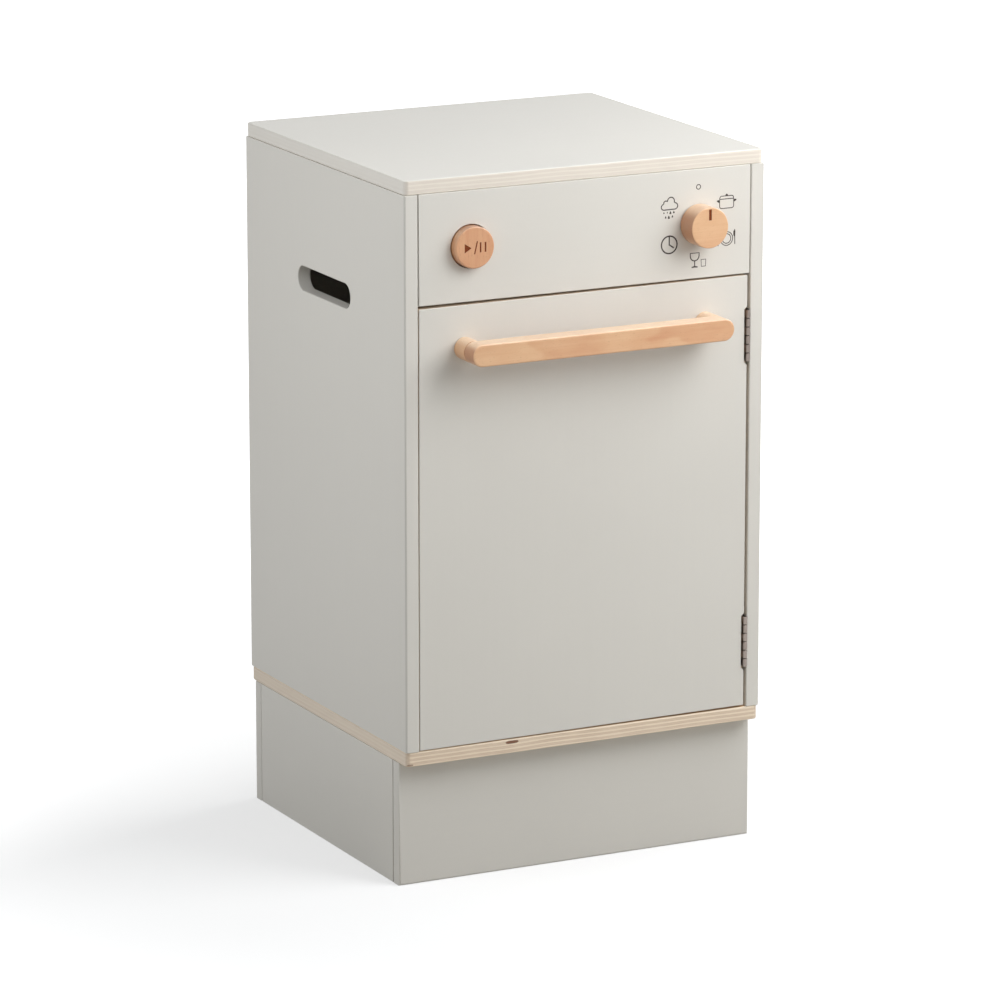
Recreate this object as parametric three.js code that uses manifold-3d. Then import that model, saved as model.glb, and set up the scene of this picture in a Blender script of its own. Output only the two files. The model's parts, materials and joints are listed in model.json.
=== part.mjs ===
// Toy dishwasher: a painted plywood play cabinet on a recessed plinth, with a side-hung door,
// a start button that springs back and a programme knob that turns. Behind the door are a cup
// shelf and a plate rack. Millimetres, +Z up, front towards -Y. The origin is on the floor,
// midway across the width and midway between the handle's face and the back of the cabinet.

import * as THREE from "three";
import { mergeVertices } from "three/addons/utils/BufferGeometryUtils.js";
import Module from "manifold-3d";

const wasm = await Module();
wasm.setup();

// Cabinet
const cabinetWidth = 300;
const cabinetDepth = 280;
const cabinetHeight = 540;
const boardThickness = 11;
const slabInset = 0.4;
const slabCornerRadius = 4;
const edgeEasing = 0.8;
const sideEdgeRounding = 1.8;
const backPanelThickness = 6;

// Plinth
const plinthHeight = 96;
const plinthFrontSetback = 14;
const plinthBackSetback = 6;
const plinthSideSetback = 0.5;
const plinthBlockWidth = 20;
const plinthBlockLift = 3;

// Hand slots in the side panels
const handSlotLength = 93;
const handSlotHeight = 19;
const handSlotDrop = 0.3;

// Control panel and the bay behind it
const controlPanelHeight = 83.2;
const controlPanelEasing = 0.6;
const bayFloorThickness = 9;

// Door and the gaps round it
const doorTopGap = 1.8;
const doorBottomGap = 1.2;
const doorFreeGap = 0.8;
const doorHingeGap = 2.4;
const doorEasing = 0.8;

// Butt hinges, forty millimetres tall
const hingeHeight = 40;
const hingeInsetTop = 46;
const hingeInsetBottom = 50.8;
const hingeLeafThickness = 0.9;
const hingeLeafReach = 10.5;
const hingeBarrelDiameter = 3.6;
const hingePinDiameter = 1.7;
const hingePinClearance = 0.2;
const hingeAxisProud = 0.3;
const hingeKnuckleCount = 6;
const hingeKnuckleGap = 0.3;
const hingeScrewSpacing = 24;
const mortiseEndGap = 0.6;
const barrelReliefWidth = 1.3;
const barrelReliefDepth = 2.4;
const barrelReliefEndGap = 0.5;

// Handle
const handleEndInset = 28.3;
const handleHeight = 17;
const handleBarThickness = 15.5;
const handlePostLength = 16.5;
const handleEasing = 1.4;
const handleDrop = 32.5;

// Start button
const buttonDiameter = 31.5;
const buttonProud = 7.5;
const buttonTravel = 4;
const buttonRimRounding = 2;
const buttonHoleClearance = 0.8;
const buttonInset = 43;
const buttonTail = 10.5;
const buttonStemDiameter = 8;
const buttonStemSocketDepth = 10;
const buttonStemClearance = 0.4;
const guideWidth = 48;
const guideWallThickness = 4;
const springWireDiameter = 1.2;
const springCoilDiameter = 17;
const springSolidLength = 8.5;
const springTurns = 4.5;

// Programme knob
const knobDiameter = 31;
const knobThickness = 18.5;
const knobGap = 0.5;
const knobEasing = 0.9;
const knobInset = 45.2;
const knobNeckDiameter = 10;
const knobNeckClearance = 0.3;

// Magnetic catch and strike plate
const catchWidth = 13;
const catchDepth = 15;
const catchHeight = 46;
const catchInset = 39;
const catchCornerRadius = 2;
const catchAirGap = 0.3;
const catchScrewSpacing = 34;
const magnetWidth = 6;
const magnetDepth = 8;
const magnetHeight = 21;
const magnetClearance = 0.3;
const strikeWidth = 10;
const strikeHeight = 30;
const strikeThickness = 1.2;

// Cup shelf and its battens
const shelfThickness = 9;
const shelfRise = 178;
const shelfFrontSetback = 28;
const shelfSideGap = 0.5;
const battenWidth = 12;
const cupHoleDiameter = 60;
const cupHoleMargin = 20.5;
const cupHoleCount = 3;

// Plate rack
const rackWidth = 220;
const rackDepth = 170;
const rackThickness = 9;
const rackEasing = 1;
const pegDiameter = 8;
const pegHeight = 52;
const pegSocketDepth = 6;
const pegClearance = 0.2;
const pegTopRounding = 1.6;
const pegPitch = 54;
const pegRowSpacing = 96;
const pegsPerRow = 4;

// Fits and cuts
const seatClearance = 0.2;
const runningGap = 0.3;
const cutOverrun = 3;

// Fasteners: a countersunk head is flush with the face it sits in, and a pan head stands on it
const hingeScrew = { head: 4.2, headDepth: 1.1, shank: 2, length: 9, countersunk: true };
const strikeScrew = { head: 5.4, headDepth: 1.5, shank: 2.6, length: 9.5, countersunk: true };
const catchScrew = { head: 6, headDepth: 2, shank: 2.8, length: 21, countersunk: false };
const handleScrew = { head: 8, headDepth: 2.6, shank: 4, length: 37, countersunk: false };
const stemScrew = { head: 14, headDepth: 2.2, shank: 3, length: 14, countersunk: false };
const knobScrew = { head: 18, headDepth: 2.2, shank: 4, length: 24, countersunk: false };

// Counts of sides and steps
const turnedSides = 32;
const smallSides = 12;
const holeSides = 32;
const arcSteps = 3;
const stadiumSteps = 6;

// Places worked out from the sizes, in the cabinet's own frame
const frontY = -cabinetDepth / 2;
const backY = cabinetDepth / 2;
const innerHalfWidth = cabinetWidth / 2 - boardThickness;
const frontBoardBackY = frontY + boardThickness;
const chamberBottomZ = plinthHeight + boardThickness;
const topPanelZ = cabinetHeight - boardThickness;
const backPanelY = backY - backPanelThickness;
const controlPanelZ = topPanelZ - controlPanelHeight;
const controlCentreZ = controlPanelZ + controlPanelHeight / 2;
const handSlotCentreZ = controlPanelZ - handSlotDrop - handSlotHeight / 2;
const buttonX = -innerHalfWidth + buttonInset;
const knobX = innerHalfWidth - knobInset;

const doorLeftX = -innerHalfWidth + doorFreeGap;
const doorRightX = innerHalfWidth - doorHingeGap;
const doorBottomZ = chamberBottomZ + doorBottomGap;
const doorTopZ = controlPanelZ - doorTopGap;
const doorWidth = doorRightX - doorLeftX;
const doorHeight = doorTopZ - doorBottomZ;
const doorCentreX = (doorLeftX + doorRightX) / 2;

const hingeAxisX = innerHalfWidth - hingeBarrelDiameter / 2;
const hingeAxisY = frontY - hingeAxisProud;
const hingeCentreZs = { upper: doorTopZ - hingeInsetTop, lower: doorBottomZ + hingeInsetBottom };
const mortiseFloorX = innerHalfWidth - hingeBarrelDiameter;
const hingeBoreDiameter = hingePinDiameter + 2 * hingePinClearance;

const handleLength = doorWidth - 2 * handleEndInset;
const handleReach = handlePostLength + handleBarThickness;
const handleCentreZ = doorTopZ - handleDrop;
const handlePostSpread = (handleLength - handleHeight) / 2;

const catchCentreX = -innerHalfWidth + catchWidth / 2;
const catchCentreZ = controlPanelZ - catchInset;
const catchFrontY = frontBoardBackY + strikeThickness + catchAirGap;

const springRoom = springSolidLength + buttonTravel;
const guideDepth = buttonTail - boardThickness + springRoom + guideWallThickness;
const buttonRearY = frontY + buttonTail;
const guideFloorY = frontBoardBackY + guideDepth - guideWallThickness;
const guideRearY = frontBoardBackY + guideDepth;
const buttonHoleDiameter = buttonDiameter + 2 * buttonHoleClearance;
const shelfZ = chamberBottomZ + shelfRise;
const shelfHalfWidth = innerHalfWidth - shelfSideGap;
const outerCupHoleX = shelfHalfWidth - cupHoleMargin - cupHoleDiameter / 2;

// Finishes
const paint = finish(0xd8d5ca, 0.55, 0);
const chamberPaint = finish(0xd8d5ca, 0.6, 0);
const bareBeech = finish(0xdcab82, 0.5, 0);
const barePlywood = finish(0xe0c9a6, 0.6, 0);
const steel = finish(0xa8a19c, 0.35, 1);
const catchPlastic = finish(0xe9e7e2, 0.45, 0);
const magnetBlack = finish(0x34322f, 0.5, 0);

function finish(color, roughness, metalness) {
  return new THREE.MeshStandardMaterial({ color, roughness, metalness, flatShading: true });
}

// Solids and cuts

function closed(geometry) {
  const bare = new THREE.BufferGeometry();
  bare.setAttribute("position", geometry.getAttribute("position").clone());
  if (geometry.index) {
    bare.setIndex(geometry.index.clone());
  }
  const merged = mergeVertices(bare);
  const corners = merged.index.array;
  const kept = [];
  for (let i = 0; i < corners.length; i += 3) {
    const [a, b, c] = [corners[i], corners[i + 1], corners[i + 2]];
    if (a !== b && b !== c && c !== a) {
      kept.push(a, b, c);
    }
  }
  merged.setIndex(kept);
  return merged;
}

function solidOf(geometry) {
  const shape = closed(geometry);
  const mesh = new wasm.Mesh({
    numProp: 3,
    vertProperties: new Float32Array(shape.getAttribute("position").array),
    triVerts: new Uint32Array(shape.index.array),
  });
  return new wasm.Manifold(mesh);
}

function geometryOf(solid) {
  const mesh = solid.getMesh();
  const geometry = new THREE.BufferGeometry();
  geometry.setAttribute("position", new THREE.BufferAttribute(mesh.vertProperties, 3));
  geometry.setIndex(new THREE.BufferAttribute(mesh.triVerts, 1));
  return geometry;
}

function cut(geometry, ...tools) {
  let solid = solidOf(geometry);
  for (const tool of tools) {
    solid = solid.subtract(solidOf(tool));
  }
  return geometryOf(solid);
}

function join(geometry, ...others) {
  let solid = solidOf(geometry);
  for (const other of others) {
    solid = solid.add(solidOf(other));
  }
  return geometryOf(solid);
}

// Outlines, centred on their own origin

function rectangle(width, height, radius) {
  const [x, y] = [width / 2, height / 2];
  const shape = new THREE.Shape();
  if (radius === 0) {
    shape.moveTo(-x, -y).lineTo(x, -y).lineTo(x, y).lineTo(-x, y);
    return shape;
  }
  shape.absarc(x - radius, y - radius, radius, 0, Math.PI / 2);
  shape.absarc(radius - x, y - radius, radius, Math.PI / 2, Math.PI);
  shape.absarc(radius - x, radius - y, radius, Math.PI, 1.5 * Math.PI);
  shape.absarc(x - radius, radius - y, radius, 1.5 * Math.PI, 2 * Math.PI);
  return shape;
}

function stadium(length, height) {
  const straight = (length - height) / 2;
  const shape = new THREE.Shape();
  shape.absarc(straight, 0, height / 2, -Math.PI / 2, Math.PI / 2);
  shape.absarc(-straight, 0, height / 2, Math.PI / 2, 1.5 * Math.PI);
  return shape;
}

// Plates: a lying one rises from z 0, one that faces the front fills y 0 to its thickness,
// and one that faces sideways fills x 0 to its thickness

function lying(outline, thickness, easing, curveSegments = arcSteps) {
  const geometry = new THREE.ExtrudeGeometry(outline, {
    depth: thickness - 2 * easing,
    bevelEnabled: easing > 0,
    bevelThickness: easing,
    bevelSize: easing,
    bevelOffset: -easing,
    bevelSegments: 2,
    curveSegments,
  });
  return geometry.translate(0, 0, easing);
}

function facingFront(outline, thickness, easing, curveSegments) {
  const geometry = lying(outline, thickness, easing, curveSegments);
  return geometry.rotateX(Math.PI / 2).translate(0, thickness, 0);
}

function facingSideways(outline, thickness, easing, curveSegments) {
  const geometry = lying(outline, thickness, easing, curveSegments);
  const turn = new THREE.Matrix4().makeBasis(
    new THREE.Vector3(0, 1, 0),
    new THREE.Vector3(0, 0, 1),
    new THREE.Vector3(1, 0, 0),
  );
  return geometry.applyMatrix4(turn);
}

// Box from one corner to the other

function boxBetween(low, high) {
  const size = high.map((value, axis) => value - low[axis]);
  const centre = high.map((value, axis) => (value + low[axis]) / 2);
  return new THREE.BoxGeometry(...size).translate(...centre);
}

// Turned pieces: the profile runs along +Y from one end on the axis to the other

function turned(profile, sides) {
  const points = profile.map(([radius, along]) => new THREE.Vector2(radius, along));
  return new THREE.LatheGeometry(points, sides);
}

function rod(diameter, from, to, sides) {
  const radius = diameter / 2;
  return turned([[0, from], [radius, from], [radius, to], [0, to]], sides);
}

// Quarter round of a turned profile, from one angle to the next round its centre

function quarterRound(centreRadius, centreAlong, radius, startAngle) {
  const points = [];
  for (let step = 0; step <= arcSteps; step += 1) {
    const angle = startAngle + (step / arcSteps) * (Math.PI / 2);
    points.push([
      centreRadius + radius * Math.cos(angle),
      centreAlong + radius * Math.sin(angle),
    ]);
  }
  return points;
}

// Screws point along +Y. A pan head stands before y 0, and a countersunk head is flush with it

function screwShape(screw) {
  const head = screw.head / 2;
  const shank = screw.shank / 2;
  const front = screw.countersunk ? 0 : -screw.headDepth;
  const seat = screw.countersunk ? [[shank, screw.headDepth]] : [[head, 0], [shank, 0]];
  const profile = [[0, front], [head, front], ...seat, [shank, screw.length], [0, screw.length]];
  return turned(profile, smallSides);
}

function screwHole(screw) {
  const head = screw.head / 2 + seatClearance;
  const shank = screw.shank / 2 + seatClearance;
  const end = screw.length + seatClearance;
  const mouth = screw.countersunk
    ? [[head, -cutOverrun], [head, 0], [shank, screw.headDepth]]
    : [[shank, -cutOverrun]];
  return turned([[0, -cutOverrun], ...mouth, [shank, end], [0, end]], smallSides);
}

const towardsRight = -Math.PI / 2;
const towardsLeft = Math.PI / 2;
const towardsFront = Math.PI;

// Parts and where they go

function part(name, geometry, material) {
  const mesh = new THREE.Mesh(closed(geometry), material);
  mesh.name = name;
  return mesh;
}

function at(object, x, y, z) {
  object.position.set(x, y, z);
  return object;
}

function screwPart(name, screw, turn) {
  const mesh = part(name, screwShape(screw), steel);
  mesh.rotation.z = turn;
  return mesh;
}

function drilled(tool, turn, x, y, z) {
  return tool.rotateZ(turn).translate(x, y, z);
}

// Cabinet boards

function slabPanel(name, z) {
  const outline = rectangle(
    cabinetWidth - 2 * slabInset,
    cabinetDepth - 2 * slabInset,
    slabCornerRadius,
  );
  return at(part(name, lying(outline, boardThickness, edgeEasing), paint), 0, 0, z);
}

function sideBoard() {
  const section = rectangle(boardThickness, cabinetDepth, sideEdgeRounding);
  return lying(section, topPanelZ - chamberBottomZ, 0);
}

function handSlotTool() {
  const outline = stadium(handSlotLength, handSlotHeight);
  const slot = facingSideways(outline, boardThickness + 2 * cutOverrun, 0, stadiumSteps);
  return slot.translate(-boardThickness / 2 - cutOverrun, 0, handSlotCentreZ - chamberBottomZ);
}

function sidePanels() {
  const centreX = innerHalfWidth + boardThickness / 2;
  const catchHoles = catchScrewZs().map((z) =>
    drilled(
      screwHole(catchScrew),
      towardsLeft,
      catchWidth + boardThickness / 2,
      catchCentreY(),
      z - chamberBottomZ,
    ),
  );
  const hingeHoles = hingeScrewZs().map((z) =>
    drilled(
      screwHole(hingeScrew),
      towardsRight,
      -hingeLeafThickness - boardThickness / 2,
      hingeScrewY(),
      z - chamberBottomZ,
    ),
  );
  const left = cut(sideBoard(), handSlotTool(), ...catchHoles);
  const right = cut(sideBoard(), handSlotTool(), ...hingeHoles);
  return [
    at(part("left_side_panel", left, paint), -centreX, 0, chamberBottomZ),
    at(part("right_side_panel", right, paint), centreX, 0, chamberBottomZ),
  ];
}

function backPanel() {
  const outline = rectangle(2 * innerHalfWidth, topPanelZ - chamberBottomZ, 0);
  const mesh = part("back_panel", facingFront(outline, backPanelThickness, 0), chamberPaint);
  return at(mesh, 0, backPanelY, (chamberBottomZ + topPanelZ) / 2);
}

function controlPanel() {
  const outline = rectangle(2 * innerHalfWidth, controlPanelHeight, 0);
  const board = facingFront(outline, boardThickness, controlPanelEasing);
  const through = [-cutOverrun, boardThickness + cutOverrun];
  const buttonHole = rod(buttonHoleDiameter, ...through, holeSides).translate(buttonX, 0, 0);
  const knobHoleDiameter = knobNeckDiameter + 2 * knobNeckClearance;
  const knobHole = rod(knobHoleDiameter, ...through, holeSides).translate(knobX, 0, 0);
  return at(part("control_panel", cut(board, buttonHole, knobHole), paint), 0, frontY, controlCentreZ);
}

function controlBayFloor() {
  const depth = backPanelY - frontBoardBackY;
  const outline = rectangle(2 * innerHalfWidth, depth, 0);
  const mesh = part("control_bay_floor", lying(outline, bayFloorThickness, 0), chamberPaint);
  return at(mesh, 0, frontBoardBackY + depth / 2, controlPanelZ);
}

// Plinth: the front and back boards run the full width, and the side boards fit between them

function plinth() {
  const halfWidth = cabinetWidth / 2 - plinthSideSetback;
  const faceY = frontY + plinthFrontSetback;
  const rearY = backY - plinthBackSetback;
  const frontInnerY = faceY + boardThickness;
  const rearInnerY = rearY - boardThickness;
  const sideLength = rearInnerY - frontInnerY;
  const middleY = (frontInnerY + rearInnerY) / 2;
  const crossOutline = rectangle(2 * halfWidth, plinthHeight, 0);
  const crossBoard = () => facingFront(crossOutline, boardThickness, edgeEasing);
  const sideSection = rectangle(boardThickness, sideLength, 0);
  const block = rectangle(plinthBlockWidth, plinthBlockWidth, 0);
  const blockHeight = plinthHeight - plinthBlockLift;
  const blockX = halfWidth - boardThickness - plinthBlockWidth / 2;
  const pieces = [
    at(part("plinth_front_board", crossBoard(), paint), 0, faceY, plinthHeight / 2),
    at(part("plinth_back_board", crossBoard(), paint), 0, rearInnerY, plinthHeight / 2),
  ];
  for (const [side, sign] of [["left", -1], ["right", 1]]) {
    const sideBoardMesh = part(`plinth_${side}_board`, lying(sideSection, plinthHeight, 0), paint);
    pieces.push(at(sideBoardMesh, sign * (halfWidth - boardThickness / 2), middleY, 0));
    for (const [end, y] of [
      ["front", frontInnerY + plinthBlockWidth / 2],
      ["back", rearInnerY - plinthBlockWidth / 2],
    ]) {
      const mesh = part(`plinth_block_${end}_${side}`, lying(block, blockHeight, 0), barePlywood);
      pieces.push(at(mesh, sign * blockX, y, plinthBlockLift));
    }
  }
  return pieces;
}

// Cup shelf on two battens

function cupHoleXs() {
  const pitch = (2 * outerCupHoleX) / Math.max(1, cupHoleCount - 1);
  const offset = (cupHoleCount - 1) / 2;
  return Array.from({ length: cupHoleCount }, (_, i) => (i - offset) * pitch);
}

function shelf() {
  const depth = backPanelY - frontY - shelfFrontSetback;
  const centreY = frontY + shelfFrontSetback + depth / 2;
  const outline = rectangle(2 * shelfHalfWidth, depth, 0);
  const holes = cupHoleXs().map((x) => {
    const hole = rod(cupHoleDiameter, -cutOverrun, shelfThickness + cutOverrun, holeSides);
    return hole.rotateX(Math.PI / 2).translate(x, 0, 0);
  });
  const board = cut(lying(outline, shelfThickness, edgeEasing), ...holes);
  const pieces = [at(part("cup_shelf", board, barePlywood), 0, centreY, shelfZ)];
  for (const [side, sign] of [["left", -1], ["right", 1]]) {
    const halfBatten = battenWidth / 2;
    const batten = boxBetween([-halfBatten, -depth / 2, 0], [halfBatten, depth / 2, battenWidth]);
    const x = sign * (innerHalfWidth - battenWidth / 2);
    pieces.push(at(part(`shelf_batten_${side}`, batten, bareBeech), x, centreY, shelfZ - battenWidth));
  }
  return pieces;
}

// Plate rack: a board with two rows of pegs

function pegPlaces() {
  const places = [];
  for (const y of [-pegRowSpacing / 2, pegRowSpacing / 2]) {
    for (let i = 0; i < pegsPerRow; i += 1) {
      places.push([(i - (pegsPerRow - 1) / 2) * pegPitch, y]);
    }
  }
  return places;
}

function pegShape() {
  const radius = pegDiameter / 2;
  const end = pegSocketDepth + pegHeight;
  const top = quarterRound(radius - pegTopRounding, end - pegTopRounding, pegTopRounding, 0);
  return turned([[0, 0], [radius, 0], ...top, [0, end]], smallSides).rotateX(Math.PI / 2);
}

function plateRack() {
  const sockets = pegPlaces().map(([x, y]) => {
    const bottom = rackThickness - pegSocketDepth;
    const socket = rod(pegDiameter + 2 * pegClearance, bottom, rackThickness + cutOverrun, smallSides);
    return socket.rotateX(Math.PI / 2).translate(x, y, 0);
  });
  const outline = rectangle(rackWidth, rackDepth, slabCornerRadius);
  const board = cut(lying(outline, rackThickness, rackEasing), ...sockets);
  const pieces = [at(part("plate_rack_board", board, barePlywood), 0, 0, chamberBottomZ)];
  pegPlaces().forEach(([x, y], i) => {
    const z = chamberBottomZ + rackThickness - pegSocketDepth;
    pieces.push(at(part(`rack_peg_${i + 1}`, pegShape(), bareBeech), x, y, z));
  });
  return pieces;
}

// Hinges: each leaf carries every other knuckle, and the pin stays with the cabinet's leaf

function hingeScrewY() {
  return hingeAxisY + hingeLeafReach / 2 + hingeBarrelDiameter / 4;
}

function hingeScrewZs() {
  const half = hingeScrewSpacing / 2;
  return Object.values(hingeCentreZs).flatMap((z) => [z - half, z + half]);
}

function hingeLeaf(side, firstKnuckle) {
  const radius = hingeBarrelDiameter / 2;
  const knuckle = hingeHeight / hingeKnuckleCount;
  const outer = side * radius;
  const inner = side * (radius - hingeLeafThickness);
  const [lowX, highX] = [Math.min(outer, inner), Math.max(outer, inner)];
  const plateY = radius + hingeKnuckleGap;
  const plate = boxBetween([lowX, plateY, -hingeHeight / 2], [highX, hingeLeafReach, hingeHeight / 2]);
  const additions = [];
  for (let i = firstKnuckle; i < hingeKnuckleCount; i += 2) {
    const low = -hingeHeight / 2 + i * knuckle + hingeKnuckleGap / 2;
    const high = low + knuckle - hingeKnuckleGap;
    additions.push(boxBetween([lowX, 0, low], [highX, plateY + hingeLeafThickness, high]));
    additions.push(rod(hingeBarrelDiameter, low, high, 2 * smallSides).rotateX(Math.PI / 2));
  }
  const bore = rod(hingeBoreDiameter, -hingeHeight, hingeHeight, smallSides).rotateX(Math.PI / 2);
  const turn = side > 0 ? towardsRight : towardsLeft;
  const holes = [-hingeScrewSpacing / 2, hingeScrewSpacing / 2].map((z) =>
    drilled(screwHole(hingeScrew), turn, inner, hingeScrewY() - hingeAxisY, z),
  );
  return cut(join(plate, ...additions), bore, ...holes);
}

function cabinetHinges() {
  const pieces = [];
  const pinEnd = hingeHeight / 2 - hingeKnuckleGap;
  for (const [level, z] of Object.entries(hingeCentreZs)) {
    const leaf = part(`${level}_hinge_cabinet_leaf`, hingeLeaf(1, 0), steel);
    pieces.push(at(leaf, hingeAxisX, hingeAxisY, z));
    const pin = rod(hingePinDiameter, -pinEnd, pinEnd, smallSides).rotateX(Math.PI / 2);
    pieces.push(at(part(`${level}_hinge_pin`, pin, steel), hingeAxisX, hingeAxisY, z));
    [-1, 1].forEach((sign, i) => {
      const screw = screwPart(`${level}_hinge_cabinet_screw_${i + 1}`, hingeScrew, towardsRight);
      const x = innerHalfWidth - hingeLeafThickness;
      pieces.push(at(screw, x, hingeScrewY(), z + (sign * hingeScrewSpacing) / 2));
    });
  }
  return pieces;
}

// Magnetic catch on the left side panel

function catchCentreY() {
  return catchFrontY + catchDepth / 2;
}

function catchScrewZs() {
  return [catchCentreZ - catchScrewSpacing / 2, catchCentreZ + catchScrewSpacing / 2];
}

function magneticCatch() {
  const body = facingFront(rectangle(catchWidth, catchHeight, catchCornerRadius), catchDepth, edgeEasing);
  const pocketX = magnetWidth / 2 + magnetClearance;
  const pocketZ = magnetHeight / 2 + magnetClearance;
  const pocket = boxBetween([-pocketX, -cutOverrun, -pocketZ], [pocketX, magnetDepth, pocketZ]);
  const holes = catchScrewZs().map((z) =>
    drilled(screwHole(catchScrew), towardsLeft, catchWidth / 2, catchDepth / 2, z - catchCentreZ),
  );
  const magnet = boxBetween(
    [-magnetWidth / 2, 0, -magnetHeight / 2],
    [magnetWidth / 2, magnetDepth, magnetHeight / 2],
  );
  const pieces = [
    part("catch_body", cut(body, pocket, ...holes), catchPlastic),
    part("catch_magnet", magnet, magnetBlack),
  ].map((mesh) => at(mesh, catchCentreX, catchFrontY, catchCentreZ));
  catchScrewZs().forEach((z, i) => {
    const screw = screwPart(`catch_screw_${i + 1}`, catchScrew, towardsLeft);
    pieces.push(at(screw, -innerHalfWidth + catchWidth, catchCentreY(), z));
  });
  return pieces;
}

// Door: its frame has the hinge axis at x 0, y 0, and z is the cabinet's

function hingeNotches() {
  const tools = [];
  const floorX = mortiseFloorX - hingeAxisX;
  const faceY = frontY - hingeAxisY;
  const edgeX = doorRightX - hingeAxisX + cutOverrun;
  const reliefX = floorX - barrelReliefWidth;
  for (const z of Object.values(hingeCentreZs)) {
    const mortiseHalf = hingeHeight / 2 + mortiseEndGap;
    const mortiseRearY = faceY + boardThickness + cutOverrun;
    const low = [floorX, faceY - cutOverrun, z - mortiseHalf];
    tools.push(boxBetween(low, [edgeX, mortiseRearY, z + mortiseHalf]));
    const inner = hingeHeight / 2 + barrelReliefEndGap;
    const outer = inner + edgeX - reliefX;
    const relief = new THREE.Shape();
    relief.moveTo(reliefX, -inner).lineTo(edgeX, -outer).lineTo(edgeX, outer).lineTo(reliefX, inner);
    tools.push(facingFront(relief, barrelReliefDepth + cutOverrun, 0).translate(0, faceY - cutOverrun, z));
  }
  return tools;
}

function doorPanel() {
  const outline = rectangle(doorWidth, doorHeight, 0);
  const board = facingFront(outline, boardThickness, doorEasing);
  const faceY = frontY - hingeAxisY;
  board.translate(doorCentreX - hingeAxisX, faceY, (doorBottomZ + doorTopZ) / 2);
  const rearY = faceY + boardThickness;
  const handleHoles = handlePostXs().map((x) =>
    drilled(screwHole(handleScrew), towardsFront, x, rearY, handleCentreZ),
  );
  const strikeHole = drilled(
    screwHole(strikeScrew),
    towardsFront,
    catchCentreX - hingeAxisX,
    rearY + strikeThickness,
    catchCentreZ,
  );
  const hingeHoles = hingeScrewZs().map((z) =>
    drilled(
      screwHole(hingeScrew),
      towardsLeft,
      mortiseFloorX + hingeLeafThickness - hingeAxisX,
      hingeScrewY() - hingeAxisY,
      z,
    ),
  );
  const shape = cut(board, ...hingeNotches(), ...handleHoles, strikeHole, ...hingeHoles);
  return part("door_panel", shape, paint);
}

function handlePostXs() {
  return [-handlePostSpread, handlePostSpread].map((x) => doorCentreX - hingeAxisX + x);
}

function handle() {
  const faceY = frontY - hingeAxisY;
  const barBackY = faceY - handlePostLength;
  const rearY = faceY + boardThickness;
  const outline = stadium(handleLength, handleHeight);
  const bar = facingFront(outline, handleBarThickness, handleEasing, stadiumSteps);
  const sockets = [-handlePostSpread, handlePostSpread].map((x) =>
    drilled(screwHole(handleScrew), towardsFront, x, rearY - (barBackY - handleBarThickness), 0),
  );
  const barX = doorCentreX - hingeAxisX;
  const barMesh = part("handle_bar", cut(bar, ...sockets), bareBeech);
  const pieces = [at(barMesh, barX, barBackY - handleBarThickness, handleCentreZ)];
  handlePostXs().forEach((x, i) => {
    const side = i === 0 ? "left" : "right";
    const boreDiameter = handleScrew.shank + 2 * seatClearance;
    const bore = rod(boreDiameter, -cutOverrun, handlePostLength + cutOverrun, smallSides);
    const post = cut(rod(handleHeight, 0, handlePostLength, turnedSides), bore);
    pieces.push(at(part(`handle_post_${side}`, post, bareBeech), x, barBackY, handleCentreZ));
    pieces.push(at(screwPart(`handle_screw_${side}`, handleScrew, towardsFront), x, rearY, handleCentreZ));
  });
  return pieces;
}

function doorHinges() {
  const pieces = [];
  for (const [level, z] of Object.entries(hingeCentreZs)) {
    pieces.push(at(part(`${level}_hinge_door_leaf`, hingeLeaf(-1, 1), steel), 0, 0, z));
    [-1, 1].forEach((sign, i) => {
      const screw = screwPart(`${level}_hinge_door_screw_${i + 1}`, hingeScrew, towardsLeft);
      const x = mortiseFloorX + hingeLeafThickness - hingeAxisX;
      pieces.push(at(screw, x, hingeScrewY() - hingeAxisY, z + (sign * hingeScrewSpacing) / 2));
    });
  }
  return pieces;
}

function strike() {
  const rearY = frontBoardBackY - hingeAxisY;
  const x = catchCentreX - hingeAxisX;
  const [halfWidth, halfHeight] = [strikeWidth / 2, strikeHeight / 2];
  const plate = boxBetween([-halfWidth, 0, -halfHeight], [halfWidth, strikeThickness, halfHeight]);
  const hole = drilled(screwHole(strikeScrew), towardsFront, 0, strikeThickness, 0);
  return [
    at(part("strike_plate", cut(plate, hole), steel), x, rearY, catchCentreZ),
    at(screwPart("strike_screw", strikeScrew, towardsFront), x, rearY + strikeThickness, catchCentreZ),
  ];
}

function door() {
  const group = new THREE.Group();
  group.add(doorPanel(), ...handle(), ...doorHinges(), ...strike());
  return at(group, hingeAxisX, hingeAxisY, 0);
}

// Start button: its frame has y 0 on the control panel's face

class Helix extends THREE.Curve {
  constructor(radius, from, to, turns) {
    super();
    Object.assign(this, { radius, from, to, turns });
  }

  getPoint(share, target = new THREE.Vector3()) {
    const angle = 2 * Math.PI * this.turns * share;
    const along = this.from + (this.to - this.from) * share;
    return target.set(this.radius * Math.cos(angle), along, this.radius * Math.sin(angle));
  }
}

function buttonSpring() {
  const wire = new THREE.Shape().absarc(0, 0, springWireDiameter / 2, 0, 2 * Math.PI);
  const endGap = springWireDiameter / 2 + runningGap;
  const low = buttonRearY - frontY + endGap;
  const high = guideFloorY - frontY - endGap;
  const coil = new THREE.ExtrudeGeometry(wire, {
    steps: Math.round(smallSides * springTurns),
    curveSegments: arcSteps,
    extrudePath: new Helix(springCoilDiameter / 2, low, high, springTurns),
  });
  return part("button_spring", coil, steel);
}

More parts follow.
